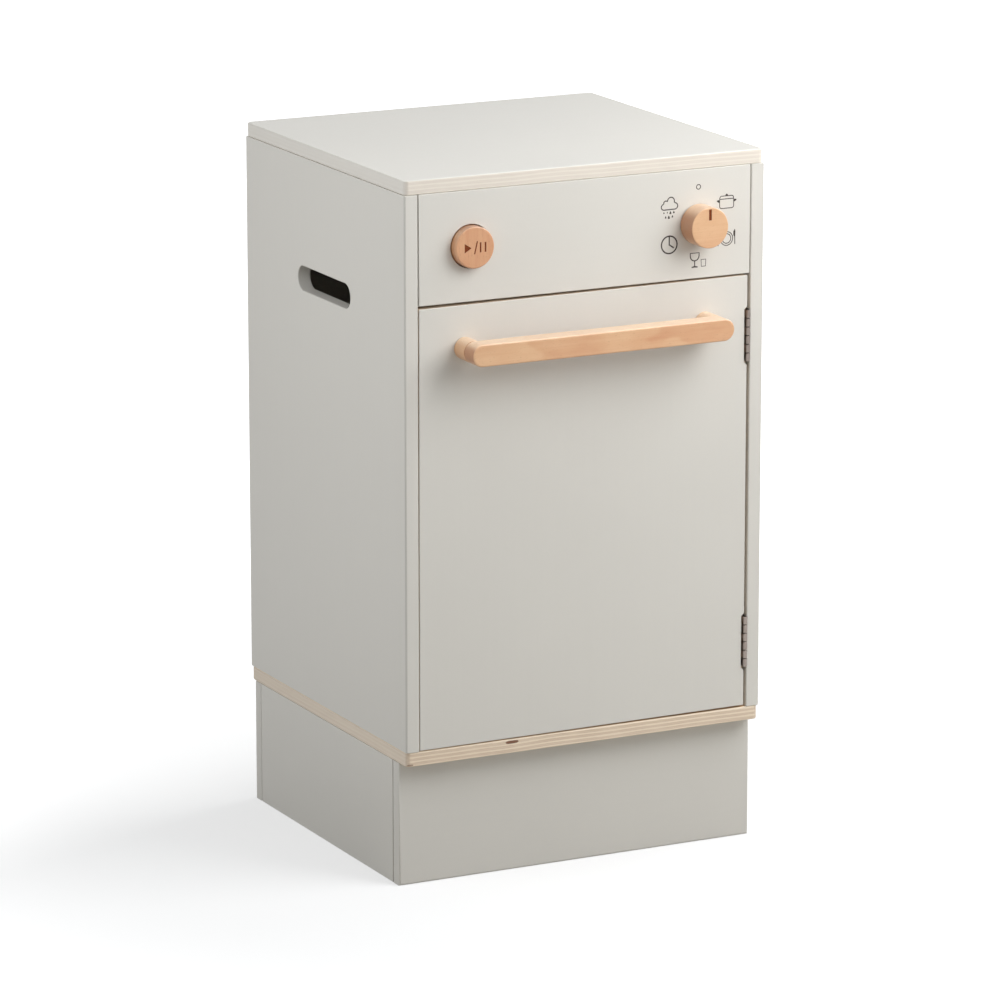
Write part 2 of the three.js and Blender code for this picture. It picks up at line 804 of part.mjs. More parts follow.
function buttonGuide() {
  const block = facingFront(rectangle(guideWidth, guideWidth, 0), guideDepth, 0);
  const chamber = rod(buttonHoleDiameter, -cutOverrun, guideDepth - guideWallThickness, holeSides);
  const bore = rod(buttonStemDiameter + 2 * buttonStemClearance, 0, guideDepth + cutOverrun, holeSides);
  return at(part("button_guide", cut(block, chamber, bore), barePlywood), 0, boardThickness, 0);
}

function buttonCap() {
  const radius = buttonDiameter / 2;
  const rimRadius = radius - buttonRimRounding;
  const rim = quarterRound(rimRadius, buttonRimRounding - buttonProud, buttonRimRounding, -Math.PI / 2);
  const cap = turned([[0, -buttonProud], ...rim, [radius, buttonTail], [0, buttonTail]], turnedSides);
  const socket = rod(
    buttonStemDiameter + 2 * seatClearance,
    buttonTail - buttonStemSocketDepth,
    buttonTail + cutOverrun,
    smallSides,
  );
  return part("start_button", cut(cap, socket), bareBeech);
}

function buttonStem() {
  const end = guideRearY - frontY + runningGap;
  const stem = rod(buttonStemDiameter, buttonTail - buttonStemSocketDepth, end, smallSides);
  const hole = drilled(screwHole(stemScrew), towardsFront, 0, end, 0);
  const screw = screwPart("button_retaining_screw", stemScrew, towardsFront);
  return [part("button_stem", cut(stem, hole), bareBeech), at(screw, 0, end, 0)];
}

function startButton() {
  const group = new THREE.Group();
  group.add(buttonCap(), ...buttonStem(), buttonSpring(), buttonGuide());
  return at(group, buttonX, frontY, controlCentreZ);
}

// Programme knob: turned in one with the neck that passes through the control panel

function programKnob() {
  const radius = knobDiameter / 2;
  const neck = knobNeckDiameter / 2;
  const face = -knobGap - knobThickness;
  const end = boardThickness + runningGap;
  const frontRim = quarterRound(radius - knobEasing, face + knobEasing, knobEasing, -Math.PI / 2);
  const rearRim = quarterRound(radius - knobEasing, -knobGap - knobEasing, knobEasing, 0);
  const profile = [[0, face], ...frontRim, ...rearRim, [neck, -knobGap], [neck, end], [0, end]];
  const hole = drilled(screwHole(knobScrew), towardsFront, 0, end, 0);
  const group = new THREE.Group();
  group.add(
    part("program_knob", cut(turned(profile, turnedSides), hole), bareBeech),
    at(screwPart("knob_screw", knobScrew, towardsFront), 0, end, 0),
  );
  return at(group, knobX, frontY, controlCentreZ);
}

const cabinet = new THREE.Group();
cabinet.add(
  slabPanel("top_panel", topPanelZ),
  slabPanel("bottom_panel", plinthHeight),
  ...sidePanels(),
  backPanel(),
  controlPanel(),
  controlBayFloor(),
  ...plinth(),
  ...shelf(),
  ...plateRack(),
  ...cabinetHinges(),
  ...magneticCatch(),
  door(),
  startButton(),
  programKnob(),
);
cabinet.position.y = handleReach / 2;

const dishwasher = new THREE.Group();
dishwasher.add(cabinet);

export default dishwasher;
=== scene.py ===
"""Toy dishwasher: boards, turned beech, hinges, dial marks and studio for a wooden play cabinet.

Lengths are in metres, +Z is up and the door faces -Y. The frame gives each piece its place and its
outer size. The settings give what the frame leaves open: roundings, rims, marks and colours.
"""

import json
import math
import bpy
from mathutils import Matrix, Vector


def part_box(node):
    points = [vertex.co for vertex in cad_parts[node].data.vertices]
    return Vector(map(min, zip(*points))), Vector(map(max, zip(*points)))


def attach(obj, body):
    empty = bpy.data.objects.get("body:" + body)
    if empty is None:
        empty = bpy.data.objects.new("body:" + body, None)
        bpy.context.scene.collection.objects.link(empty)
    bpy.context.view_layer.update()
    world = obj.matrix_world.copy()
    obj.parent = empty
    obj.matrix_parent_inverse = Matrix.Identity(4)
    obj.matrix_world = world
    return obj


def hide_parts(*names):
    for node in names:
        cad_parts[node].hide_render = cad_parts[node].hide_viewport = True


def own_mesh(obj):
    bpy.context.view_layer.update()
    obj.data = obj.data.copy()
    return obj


bl_info = {
    "name": "Toy Dishwasher",
    "version": (1, 0, 0),
    "blender": (4, 5, 0),
    "location": "3D View > Sidebar > Dishwasher",
    "description": "Builds a wooden play dishwasher: boards, turned pieces, hinges and dial marks",
    "category": "Object",
}

import bmesh
import bpy
from bpy.props import FloatProperty, FloatVectorProperty, IntProperty, PointerProperty
from bpy.types import Operator, Panel, PropertyGroup
from mathutils import Matrix, Vector

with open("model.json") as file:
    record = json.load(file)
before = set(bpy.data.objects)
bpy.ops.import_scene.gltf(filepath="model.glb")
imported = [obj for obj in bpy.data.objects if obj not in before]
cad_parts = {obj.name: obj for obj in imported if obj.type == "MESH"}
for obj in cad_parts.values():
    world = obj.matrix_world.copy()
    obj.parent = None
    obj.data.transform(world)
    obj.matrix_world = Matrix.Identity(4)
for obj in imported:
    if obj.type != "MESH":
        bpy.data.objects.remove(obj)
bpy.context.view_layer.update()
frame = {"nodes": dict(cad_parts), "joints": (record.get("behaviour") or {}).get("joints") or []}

MM = 0.001
TOUCH = 2e-6
WELD = 1e-6
X, Y, Z = 0, 1, 2
AXES = (Vector((1, 0, 0)), Vector((0, 1, 0)), Vector((0, 0, 1)))
FULL_TURN = 2 * math.pi
HALF_TURN = math.pi

# Counts of steps round curves
FINE_STEPS = 2
EASING_STEPS = 3
ARC_STEPS = 5
CORNER_STEPS = 8
WIRE_STEPS = 12
COIL_STEPS = 28
ROLL_STEPS = 30
SCREW_STEPS = 32
HOLE_STEPS = 72
TURNED_STEPS = 96

# Degrees from point to point round a printed ring
RING_STEP = 9

# Finishes by their place in a piece's list of materials
FACE = 0
EDGE = MARK = 1
RIM = 2
UNDERSIDE = 3
MOST_FINISHES = 4

# Shares of a face's direction that tell broad, level, upright and rim faces apart
BROAD = 0.8
LEVEL = 0.99
UPRIGHT = 0.1
RIM_TILT = 0.4

# Small measures that hardly show
THIN_EASING = 0.4 * MM
PIN_EASING = 0.2 * MM
GUIDE_WALL = 4 * MM
STEM_GAP = 0.4 * MM
KNOB_STANDOFF = 0.5 * MM
SCREW_HOLE_GAP = 0.05 * MM
SCREW_HOLE_ROUNDING = 0.1 * MM
STRIKE_CORNER = 1.5 * MM
STRIKE_EASING = 0.25 * MM

# How far a cutter reaches past what it cuts
OVERCUT = 3 * MM

# The return spring: the radius of its wire, and its turns
SPRING_WIRE = 0.6 * MM
SPRING_TURNS = 4.5

# How far a knuckle is rolled round its pin
KNUCKLE_ROLL = math.radians(291)

# Where the hung door keeps its height, as a share of its width from the hinges
SAG_PIVOT = 0.45

# Dark spots in the base slab's front edge: place, half width and half height in millimetres,
# then how dark
KNOTS = (
    (-61.6, 104.7, 5.4, 1.2, 0.95),
    (-146.4, 97.4, 2.2, 0.7, 0.6),
)

# How white the top slab's edges are limed, from 0 to 1
TOP_LIMED = 0.58

# A screw, in shares of its head's radius. The heads are points of (out, down).
SHANK = 0.48
POINT = 0.768
RECESS = 0.66
CROSS_REACH = 0.5148
CROSS_HALF = 0.1122
CROSS_DEPTH = 0.42
FLAT_HEAD = ((RECESS, 0), (0.985, 0), (1, 0.05), (SHANK, 0.5))
ROUND_HEAD = ((RECESS, 0), (0.84, 0.08), (0.95, 0.22), (1, 0.42), (1, 0.55), (SHANK, 0.55))

# What is burnt into the start button, as outlines of (x, z) in millimetres
START_MARKS = (
    ((-8.7, -3.5), (-8.7, 3.5), (-3.1, 0)),
    ((-1.1, -4.8), (-0.1, -4.8), (2.2, 4.8), (1.2, 4.8)),
    ((3.7, -3.7), (4.9, -3.7), (4.9, 3.7), (3.7, 3.7)),
    ((7.7, -3.7), (9, -3.7), (9, 3.7), (7.7, 3.7)),
)

# Where the dial marks stand from the knob's middle, in millimetres
DIAL_PLACES = {
    "mark_off": (0.1, 28.0),
    "mark_pots": (24.2, 15.0),
    "mark_plates": (24.4, -13.4),
    "mark_glasses": (-2.7, -28.0),
    "mark_timer": (-24.4, -13.9),
    "mark_rinse": (-24.5, 14.9),
}

# The stage, in metres: each softbox has its power's setting, its size, its place and its target
LAMPS = {
    "key_softbox": ("key_power", 0.9, (0.60, -0.7, 1.05), (0, -0.12, 0.35)),
    "front_card": ("card_power", 0.4, (0.12, -0.65, 0.8), (0, -0.12, 0.4)),
    "window": ("window_power", 0.9, (1.65, 0.42, 1.2), (0, 0, 0.2)),
    "left_fill": ("left_power", 0.5, (-0.8, -0.1, 0.75), (-0.15, 0, 0.4)),
}

# Half the floor's width, and where its glow behind and far off starts and ends, in metres
FLOOR_REACH = 14
BEHIND_START, BEHIND_END = -0.03, 0.17
FAR_START, FAR_END = 0.3, 0.85


# Settings

def linear(channel):
    """One sRGB channel from 0 to 255 as the linear value that shaders use."""
    share = channel / 255
    if share <= 0.04045:
        return share / 12.92
    return ((share + 0.055) / 1.055) ** 2.4


def colour(name, description, *channels):
    """A colour property with its default in sRGB channels from 0 to 255."""
    default = tuple(linear(channel) for channel in channels)
    return FloatVectorProperty(
        name=name, description=description, default=default, subtype="COLOR", min=0, max=1,
    )


def length(name, description, millimetres):
    """A length property with its default in millimetres."""
    return FloatProperty(
        name=name, description=description, default=millimetres * MM, unit="LENGTH", precision=5,
    )


class BoardSettings(PropertyGroup):
    """What the boards of the cabinet and the door are shaped by."""

    slab_corner: length("Slab corner", "Radius of the slabs' upright corners", 4)
    edge_easing: length("Edge easing", "Rounding of the slabs' edges", 1.1)
    side_rounding: length("Side rounding", "Rounding of the side panels' outer edges", 1.2)
    lip_rounding: length("Lip rounding", "Rounding of the side panels' inner edges", 1.1)
    panel_easing: length("Panel easing", "Rounding of the control panel's edges", 0.6)
    panel_gap: length("Panel gap", "Gap at each end of the control panel", 0.7)
    door_easing: length("Door easing", "Rounding of the door's edges", 0.5)
    joint_easing: length("Joint easing", "Rounding of edges that meet another board", 0.45)
    joint_gap: length("Joint gap", "Gap at each end of a plinth side board", 0.5)
    plinth_easing: length("Plinth easing", "Rounding of the front and back plinth boards", 1.6)
    door_sag: length("Door sag", "How much lower the door's free side hangs", 0.9)
    door_lean: length("Door lean", "How far left the door's free side leans at its foot", 0.45)
    inner_easing: length("Inner easing", "Rounding of the shelf, battens and blocks", 0.8)
    slot_length: length("Hand slot length", "Length of a hand slot, round ends included", 93)
    slot_height: length("Hand slot height", "Height of a hand slot", 19)
    slot_drop: length("Hand slot drop", "From the control panel's foot down to a slot", 9.8)
    slot_rounding: length("Hand slot rounding", "Rounding of a hand slot's rims", 0.9)
    hole_rounding: length("Hole rounding", "Rounding of the holes in the control panel", 0.4)
    cup_hole: length("Cup hole", "Diameter of a hole in the cup shelf", 60)
    cup_margin: length("Cup margin", "From the outer cup holes to the shelf's ends", 20.5)
    cup_rounding: length("Cup rounding", "Rounding of the cup holes' rims", 2)
    cup_count: IntProperty(name="Cup holes", description="How many cup holes", default=3, min=2)
    plies: IntProperty(name="Plies", description="Layers in an eleven millimetre board", default=7)


class TurnedSettings(PropertyGroup):
    """What the handle, the button, the knob and the pegs are shaped by."""

    handle_easing: length("Handle easing", "Rounding of the handle bar's edges", 1.4)
    post_easing: length("Post easing", "Rounding of the handle posts' ends", 0.6)
    button_rounding: length("Button rounding", "Rounding of the start button's rim", 1.2)
    button_gap: length("Button gap", "Gap round the start button", 0.7)
    knob_rounding: length("Knob rounding", "Rounding of the programme knob's rims", 0.9)
    knob_neck: length("Knob neck", "Diameter of the knob's neck", 10)
    knob_neck_gap: length("Knob neck gap", "Gap round the knob's neck", 0.3)
    peg_rounding: length("Peg rounding", "Rounding of the rack pegs' tops", 2.4)
    mark_depth: length("Mark depth", "How deep the burnt marks are sunk", 0.3)
    pointer_width: length("Pointer width", "Width of the knob's burnt line", 2.3)
    pointer_length: length("Pointer length", "Length of the knob's burnt line", 8.3)
    pointer_margin: length("Pointer margin", "From the line to the knob's rounded rim", 0.5)


class HingeSettings(PropertyGroup):
    """What the butt hinges, their notches and the magnetic catch are shaped by."""

    leaf: length("Leaf", "Thickness of a hinge leaf", 0.9)
    leaf_corner: length("Leaf corner", "Radius of a leaf's free corners", 1.5)
    knuckles: IntProperty(name="Knuckles", description="Knuckles in a hinge", default=6, min=2)
    knuckle_gap: length("Knuckle gap", "Gap between two knuckles", 0.7)
    knuckle_easing: length("Knuckle easing", "Chamfer at the ends of a knuckle", 0.15)
    mortise_gap: length("Mortise gap", "Gap above and below a hinge in the door's edge", 0.35)
    relief_width: length("Relief width", "Width of the clearance beside a hinge barrel", 1.3)
    relief_depth: length("Relief depth", "Depth of the clearance beside a hinge barrel", 2.4)
    relief_gap: length("Relief gap", "Clearance above and below a hinge barrel", 0.25)
    catch_corner: length("Catch corner", "Radius of the catch's corners", 2)
    magnet_gap: length("Magnet gap", "Gap round the magnet in its pocket", 0.3)


class MarkSettings(PropertyGroup):
    """What the printed marks round the programme knob are drawn with."""

    line: length("Line", "Width of the fine lines: ring, pot, plate and tumbler", 0.68)
    full_line: length("Full line", "Width of the cloud's and the goblet's lines", 0.86)
    bold_line: length("Bold line", "Width of the clock's lines", 1.14)
    ink: length("Ink", "How far the ink stands on the paint", 0.04)


class ColourSettings(PropertyGroup):
    """The colours of the finishes."""

    paint: colour("Paint", "Satin paint on the boards", 219, 216, 209)
    # Painted shade: a darker tone of the paint for the boards that face the inside of the cabinet
    chamber: colour("Chamber paint", "Paint inside the cabinet", 206, 202, 193)
    birch: colour("Birch", "Light layers of birch plywood", 248, 232, 210)
    birch_end: colour("Birch end grain", "Layers of plywood that show end grain", 222, 200, 176)
    birch_glue: colour("Glue line", "Glue between the layers", 176, 146, 120)
    # Painted highlight: the pale colour of the base slab's upward rims, where light catches them
    birch_highlight: colour("Sanded birch", "Sanded rims of the base slab", 255, 240, 216)
    birch_bare: colour("Bare birch", "Birch that has only been oiled", 235, 197, 152)
    lime: colour("Lime", "White wash on plywood edges", 228, 227, 222)
    knot: colour("Knot", "Dark knots and filled gaps in an edge", 120, 78, 56)
    beech: colour("Beech", "Oiled beech", 228, 186, 143)
    beech_red: colour("Red beech", "Beech with a redder tone", 208, 150, 109)
    beech_end: colour("Beech end grain", "Where beech is cut across", 168, 108, 72)
    # Painted highlight: the paler colour of the beech pieces' upward faces, standing in for sheen
    # from above
    beech_painted_sheen: colour("Beech top", "Upper sides that light has bleached", 252, 226, 196)
    burn: colour("Burn", "Burnt marks", 118, 56, 26)
    ink: colour("Ink", "Printed marks", 62, 54, 50)
    hinge: colour("Hinge", "Hinge steel", 148, 137, 130)
    screw: colour("Screw", "Zinc plated screws and strike plate", 176, 172, 166)
    spring: colour("Spring", "Spring wire", 150, 150, 152)
    catch: colour("Catch", "Moulded plastic of the catch", 232, 230, 224)
    magnet: colour("Magnet", "Magnet", 62, 60, 58)


class StageSettings(PropertyGroup):
    """The camera, the lights and the floor."""

    azimuth: FloatProperty(
        name="Azimuth", description="Camera angle round the cabinet", subtype="ANGLE",
        default=math.radians(-26.74),
    )
    elevation: FloatProperty(
        name="Elevation", description="Camera angle above the floor", subtype="ANGLE",
        default=math.radians(13.73),
    )
    distance: length("Distance", "From the camera to the cabinet's axis", 4484)
    lens: FloatProperty(name="Lens", description="Focal length in millimetres", default=209.4)
    aim_height: length("Aim height", "Height that the camera looks at", 250)
    aim_side: length("Aim to the side", "How far the camera looks to the right", -1.3)
    aim_rise: length("Aim above", "How far the camera looks higher", 4.5)
    key_power: FloatProperty(name="Key light", description="Power of the key light", default=11.1)
    card_power: FloatProperty(name="Front card", description="Power of the card", default=0.51)
    window_power: FloatProperty(name="Window", description="Power of the window", default=13)
    left_power: FloatProperty(name="Left fill", description="Power of the left fill", default=2.2)
    horizon: FloatProperty(name="Horizon", description="Light from the sides", default=0.565)
    zenith: FloatProperty(name="Zenith", description="Light from above", default=0.305)
    sky: colour("Sky", "Tint of the light from all round", 248, 252, 255)
    floor: colour("Floor", "Floor as the boards see it", 170, 165, 157)
    floor_shown: colour("Floor shown", "Floor as the camera sees it", 190, 190, 190)
    floor_glow: FloatProperty(
        name="Floor glow", description="What the camera adds to the lit floor", default=0.5,
    )
    back_glow: FloatProperty(
        name="Back glow", description="What the camera adds to the floor behind", default=0.19,
    )
    shadow_edge: FloatProperty(
        name="Shadow edge", description="How far the cabinet's shadow turns forward",
        subtype="ANGLE", default=math.radians(15.2),
    )
    far_glow: FloatProperty(
        name="Far glow", description="What the camera adds to the floor far off", default=0.4,
    )


def boards():
    return bpy.context.scene.dishwasher_boards


def turnings():
    return bpy.context.scene.dishwasher_turnings


def fittings():
    return bpy.context.scene.dishwasher_fittings


def print_marks():
    return bpy.context.scene.dishwasher_marks


def colours():
    return bpy.context.scene.dishwasher_colours


def studio():
    return bpy.context.scene.dishwasher_stage


# Shader nodes

class Socket:
    """A shader socket that can be added to, multiplied and so on."""

    def __init__(self, tree, socket):
        self.tree = tree
        self.socket = socket

    def __add__(self, other):
        return self.tree.math("ADD", self, other)

    def __sub__(self, other):
        return self.tree.math("SUBTRACT", self, other)

    def __rsub__(self, other):
        return self.tree.math("SUBTRACT", other, self)

    def __mul__(self, other):
        return self.tree.math("MULTIPLY", self, other)

    def __truediv__(self, other):
        return self.tree.math("DIVIDE", self, other)

    __radd__ = __add__
    __rmul__ = __mul__


class Tree:
    """A node tree that is written as expressions."""

    def __init__(self, node_tree):
        node_tree.nodes.clear()
        self.nodes = node_tree.nodes
        self.links = node_tree.links

    def node(self, kind, settings, values, output=0):
        """Adds a node with its settings and the values or links of its sockets."""
        made = self.nodes.new(kind)
        for name, value in settings.items():
            setattr(made, name, value)
        for name, value in values.items():
            self.feed(self.find(made.inputs, name), value)
        return Socket(self, self.find(made.outputs, output))

    def find(self, sockets, name):
        """The socket with a name, an identifier or a place in the list."""
        if isinstance(name, int):
            return sockets[name]
        return next(socket for socket in sockets if name in (socket.identifier, socket.name))

    def feed(self, socket, value):
        """Links a socket, or sets it."""
        if isinstance(value, Socket):
            self.links.new(value.socket, socket)
        elif socket.type == "RGBA":
            socket.default_value = (*value[:3], 1)
        else:
            socket.default_value = value

    def math(self, operation, *terms):
        return self.node("ShaderNodeMath", {"operation": operation}, dict(enumerate(terms)))

    def mix(self, share, low, high):
        """One colour at a share of 0 and another at 1."""
        return self.node(
            "ShaderNodeMix",
            {"data_type": "RGBA", "clamp_factor": True},
            {"Factor_Float": share, "A_Color": low, "B_Color": high},
            "Result_Color",
        )

    def fade(self, value, start, end):
        """Rises smoothly from 0 to 1 as the value goes from start to end."""
        return self.node(
            "ShaderNodeMapRange",
            {"interpolation_type": "SMOOTHSTEP"},
            {"Value": value, "From Min": start, "From Max": end},
        )

    def noise(self, point, scale, detail=2.0, roughness=0.5):
        return self.node(
            "ShaderNodeTexNoise",
            {},
            {"Vector": point, "Scale": scale, "Detail": detail, "Roughness": roughness},
        )

    def stretched(self, point, scale):
        """The point with each axis scaled by itself, for grain that runs one way."""
        return self.node("ShaderNodeMapping", {}, {"Vector": point, "Scale": scale})

    def parts(self, vector):
        """The three numbers of a vector."""
        return [
            self.node("ShaderNodeSeparateXYZ", {}, {"Vector": vector}, axis) for axis in (X, Y, Z)
        ]

    def light_path(self, ray):
        return self.node("ShaderNodeLightPath", {}, {}, ray)

    def seen_directly(self):
        """1 for what the camera sees, also by reflection or through glass."""
        return self.math(
            "MAXIMUM",
            self.light_path("Is Camera Ray"),
            self.math(
                "MAXIMUM", self.light_path("Is Glossy Ray"), self.light_path("Is Transmission Ray"),
            ),
        )


class Finish(Tree):
    """The nodes of one finish, with patterns on the piece's own coordinates."""

    def __init__(self, name):
        self.material = bpy.data.materials.new(name)
        self.material.use_nodes = True
        super().__init__(self.material.node_tree)
        self.shader = self.nodes.new("ShaderNodeBsdfPrincipled")
        target = self.nodes.new("ShaderNodeOutputMaterial")
        self.links.new(self.shader.outputs["BSDF"], target.inputs["Surface"])
        self.point = self.node("ShaderNodeTexCoord", {}, {}, "Object")

    def set(self, **values):
        for name, value in values.items():
            self.feed(self.shader.inputs[name.replace("_", " ")], value)

    def bump(self, height, depth, strength=1.0):
        """A bump that is depth deep where the height goes from 0 to 1."""
        made = self.node(
            "ShaderNodeBump", {}, {"Height": height, "Distance": depth, "Strength": strength},
        )
        self.set(Normal=made)

    def facing(self):
        """The surface's direction on the piece itself, as three numbers."""
        return self.parts(self.node("ShaderNodeTexCoord", {}, {}, "Normal"))


def shade(base, share):
    """A colour made lighter or darker by a share."""
    return tuple(min(1.0, channel * share) for channel in base)


def along(axis, scale, stretch):
    """Scales for a grain that runs along an axis and is finer across it."""
    return tuple(scale / stretch if i == axis else scale for i in range(3))


# Finishes

def satin_paint(name, base, grain_axis=Z):
    """Rolled satin paint on sanded plywood, with a trace of the grain under it."""
    finish = Finish(name)
    drift = finish.noise(finish.point, 5, 2)
    grain = finish.noise(finish.stretched(finish.point, along(grain_axis, 220, 26)), 1, 3, 0.6)
    stipple = finish.noise(finish.point, 620, 2)
    dust = finish.noise(finish.point, 2400, 1)
    tone = 0.5 + (drift - 0.5) * 1.3 + (grain - 0.5) * 0.25 + (stipple - 0.5) * 0.25
    finish.set(
        Base_Color=finish.mix(tone, shade(base, 0.965), shade(base, 1.03)),
        Roughness=0.46 + (stipple - 0.5) * 0.25 + (drift - 0.5) * 0.1,
        Specular_IOR_Level=0.5,
    )
    finish.bump(stipple * 0.7 + dust * 0.15 + grain * 0.25, 0.05 * MM)
    return finish.material


def knot_mask(finish, place, facing, pores, knot_x, knot_z, half_long, half_tall, dark):
    """How much a knot covers: a long spot with a ragged rim, on what faces the front."""
    near_x = (place[X] - knot_x) / half_long
    near_z = (place[Z] - knot_z) / half_tall
    reach = near_x * near_x * near_x * near_x + near_z * near_z + (pores - 0.5) * 0.6
    front = finish.fade(0 - facing[Y], 0.3, 0.6) * dark
    return (1 - finish.fade(reach, 0.6, 1.4)) * front


def birch_edge(name, axis, low, thickness, plies, knots=(), limed=0.0):
    """The lacquered edge of birch plywood, with layers across one axis of the board."""
    finish = Finish(name)
    tints = colours()
    place = finish.parts(finish.point)
    facing = finish.facing()
    flat = tuple(1.0 if i != axis else 0.0 for i in range(3))
    sway = finish.noise(finish.stretched(finish.point, flat), 9, 2)
    level = (place[axis] - low) * (plies / thickness) + (sway - 0.5) * 2.2
    layer = finish.math("FLOOR", level)
    within = level - layer
    odd = finish.math("MODULO", layer, 2)
    sideways = facing[X] * facing[X]
    plain = 1 - sideways * 0.85
    outer = finish.fade(finish.math("ABSOLUTE", level - plies / 2), plies * 0.3, plies * 0.36)
    end_grain = odd * (1 - sideways) + (1 - odd) * sideways
    fibres = tuple(1.0 if i != axis else 34.0 for i in range(3))
    streak = finish.noise(finish.stretched(finish.point, fibres), 70, 4, 0.62)
    pores = finish.noise(finish.point, 2600, 2, 0.7)
    patch = finish.noise(finish.stretched(finish.point, fibres), 14, 2)
    own_tone = finish.node(
        "ShaderNodeTexWhiteNoise", {"noise_dimensions": "1D"}, {"W": layer + 0.5}, "Value",
    )
    share = end_grain * (0.75 + pores * 0.3) + (1 - end_grain) * (streak * 0.2 + own_tone * 0.2)
    share = share * plain + sideways * 0.4 + (patch - 0.5) * 0.8
    wood = finish.mix(share, tints.birch, tints.birch_end)
    line = 1 - finish.fade(finish.math("MINIMUM", within, 1 - within), 0.02, 0.16)
    broken = finish.fade(finish.noise(finish.point, 55, 2), 0.36, 0.6)
    glue = line * (broken * 0.35 + 0.1) * (plain + sideways * outer)
    wood = finish.mix(glue, wood, tints.birch_glue)
    corner = finish.fade(finish.math("ABSOLUTE", facing[X] * facing[Y]), 0.2, 0.45)
    wood = finish.mix(corner * 0.3, wood, tints.birch_glue)
    wood = finish.mix(limed + sideways * 0.25, wood, tints.lime)
    for knot in knots:
        wood = finish.mix(knot_mask(finish, place, facing, pores, *knot), wood, tints.knot)
    finish.set(
        Base_Color=wood,
        Roughness=0.48 + end_grain * 0.1 + (streak - 0.5) * 0.15,
        Specular_IOR_Level=0.4,
    )
    finish.bump(streak * 0.5 + pores * 0.3 - line * 0.6, 0.08 * MM)
    return finish.material


def birch_veneer(name, base, grain_axis):
    """The face of birch plywood: wide soft figure, fine pores and a few dark dashes."""
    finish = Finish(name)
    tints = colours()
    bent = finish.noise(finish.stretched(finish.point, along(grain_axis, 9, 3)), 1, 2)
    figure = finish.node(
        "ShaderNodeTexNoise",
        {},
        {
            "Vector": finish.stretched(finish.point, along(grain_axis, 46, 9)),
            "Scale": 1,
            "Detail": 3,
            "Distortion": 1.4,
        },
    )
    fibre = finish.noise(finish.stretched(finish.point, along(grain_axis, 1500, 40)), 1, 3, 0.6)
    dash = finish.noise(finish.stretched(finish.point, along(grain_axis, 1300, 9)), 1, 1)
    share = 0.2 + (figure - 0.5) * 1.2 + (bent - 0.5) * 0.8 + (fibre - 0.5) * 0.7
    wood = finish.mix(share, base, shade(base, 0.82))
    wood = finish.mix(finish.fade(dash, 0.71, 0.78) * 0.5, wood, tints.birch_glue)
    finish.set(
        Base_Color=wood,
        Roughness=0.42 + (fibre - 0.5) * 0.2,
        Specular_IOR_Level=0.45,
    )
    finish.bump(fibre * 0.6 + figure * 0.3, 0.05 * MM)
    return finish.material


def oiled_beech(name, grain_axis, redness=0.5, patches=0.0, painted_sheen=0.0):
    """Oiled beech: close grain along an axis, flecks, dark end grain, and a painted sheen that
    makes upper sides paler.
    """
    finish = Finish(name)
    base, red = colours().beech, colours().beech_red
    place = finish.parts(finish.point)
    facing = finish.facing()
    grain = finish.noise(finish.stretched(finish.point, along(grain_axis, 420, 22)), 1, 3, 0.55)
    fibre = finish.noise(finish.stretched(finish.point, along(grain_axis, 2600, 34)), 1, 3, 0.6)
    fleck = finish.noise(finish.stretched(finish.point, along(grain_axis, 2300, 7)), 1, 1)
    slow = finish.noise(finish.stretched(finish.point, along(grain_axis, 60, 2)), 1, 2)
    share = redness + (grain - 0.5) * 0.55 + (fibre - 0.5) * 0.3 + (slow - 0.5) * 1.0
    if patches:
        slant = (place[Z] - place[Y]) * 1.4
        wave = finish.math("SINE", (place[X] + slant) * (FULL_TURN / patches) + slow * 5)
        share = share + finish.fade(wave, -0.25, 0.35) * 0.3 - 0.15
    wood = finish.mix(share, base, red)
    # Painted highlight: upward faces are mixed towards a pale colour, as sheen from above
    wood = finish.mix(finish.fade(facing[Z], 0.35, 0.95) * painted_sheen, wood, colours().beech_painted_sheen)
    end_grain = finish.fade(facing[grain_axis] * facing[grain_axis], 0.25, 0.9)
    wood = finish.mix(end_grain * 0.7, wood, colours().beech_end)
    spots = finish.fade(fleck, 0.66, 0.74) * 0.36
    wood = finish.mix(spots, wood, shade(red, 0.6))
    finish.set(
        Base_Color=wood,
        Roughness=0.42 + (fibre - 0.5) * 0.2 + spots * 0.3,
        Specular_IOR_Level=0.5,
        Coat_Weight=0.6,
        Coat_Roughness=0.22,
    )
    finish.bump(fibre * 0.6 + grain * 0.3 - spots * 0.8, 0.06 * MM)
    return finish.material


def burnt_wood(name):
    """Wood that a laser has burnt: dark, dry and crossed by the beam's fine lines."""
    finish = Finish(name)
    char = finish.noise(finish.point, 1500, 3, 0.6)
    lines = finish.noise(finish.stretched(finish.point, (300, 300, 5200)), 1, 1)
    base = colours().burn
    tone = 0.5 + (char - 0.5) * 1.6 + (lines - 0.5)
    finish.set(
        Base_Color=finish.mix(tone, shade(base, 0.6), shade(base, 1.6)),
        Roughness=0.78 + (char - 0.5) * 0.2,
        Specular_IOR_Level=0.25,
    )
    finish.bump(char * 0.6 + lines * 0.5, 0.08 * MM)
    return finish.material


def printed_ink(name):
    """Screen printed ink, a little uneven where the paint's texture shows through."""
    finish = Finish(name)
    cover = finish.noise(finish.point, 1900, 2)
    base = colours().ink
    finish.set(
        Base_Color=finish.mix(0.5 + (cover - 0.5) * 1.6, shade(base, 0.8), shade(base, 1.35)),
        Roughness=0.62 + (cover - 0.5) * 0.2,
        Specular_IOR_Level=0.3,
    )
    finish.bump(cover, 0.01 * MM)
    return finish.material


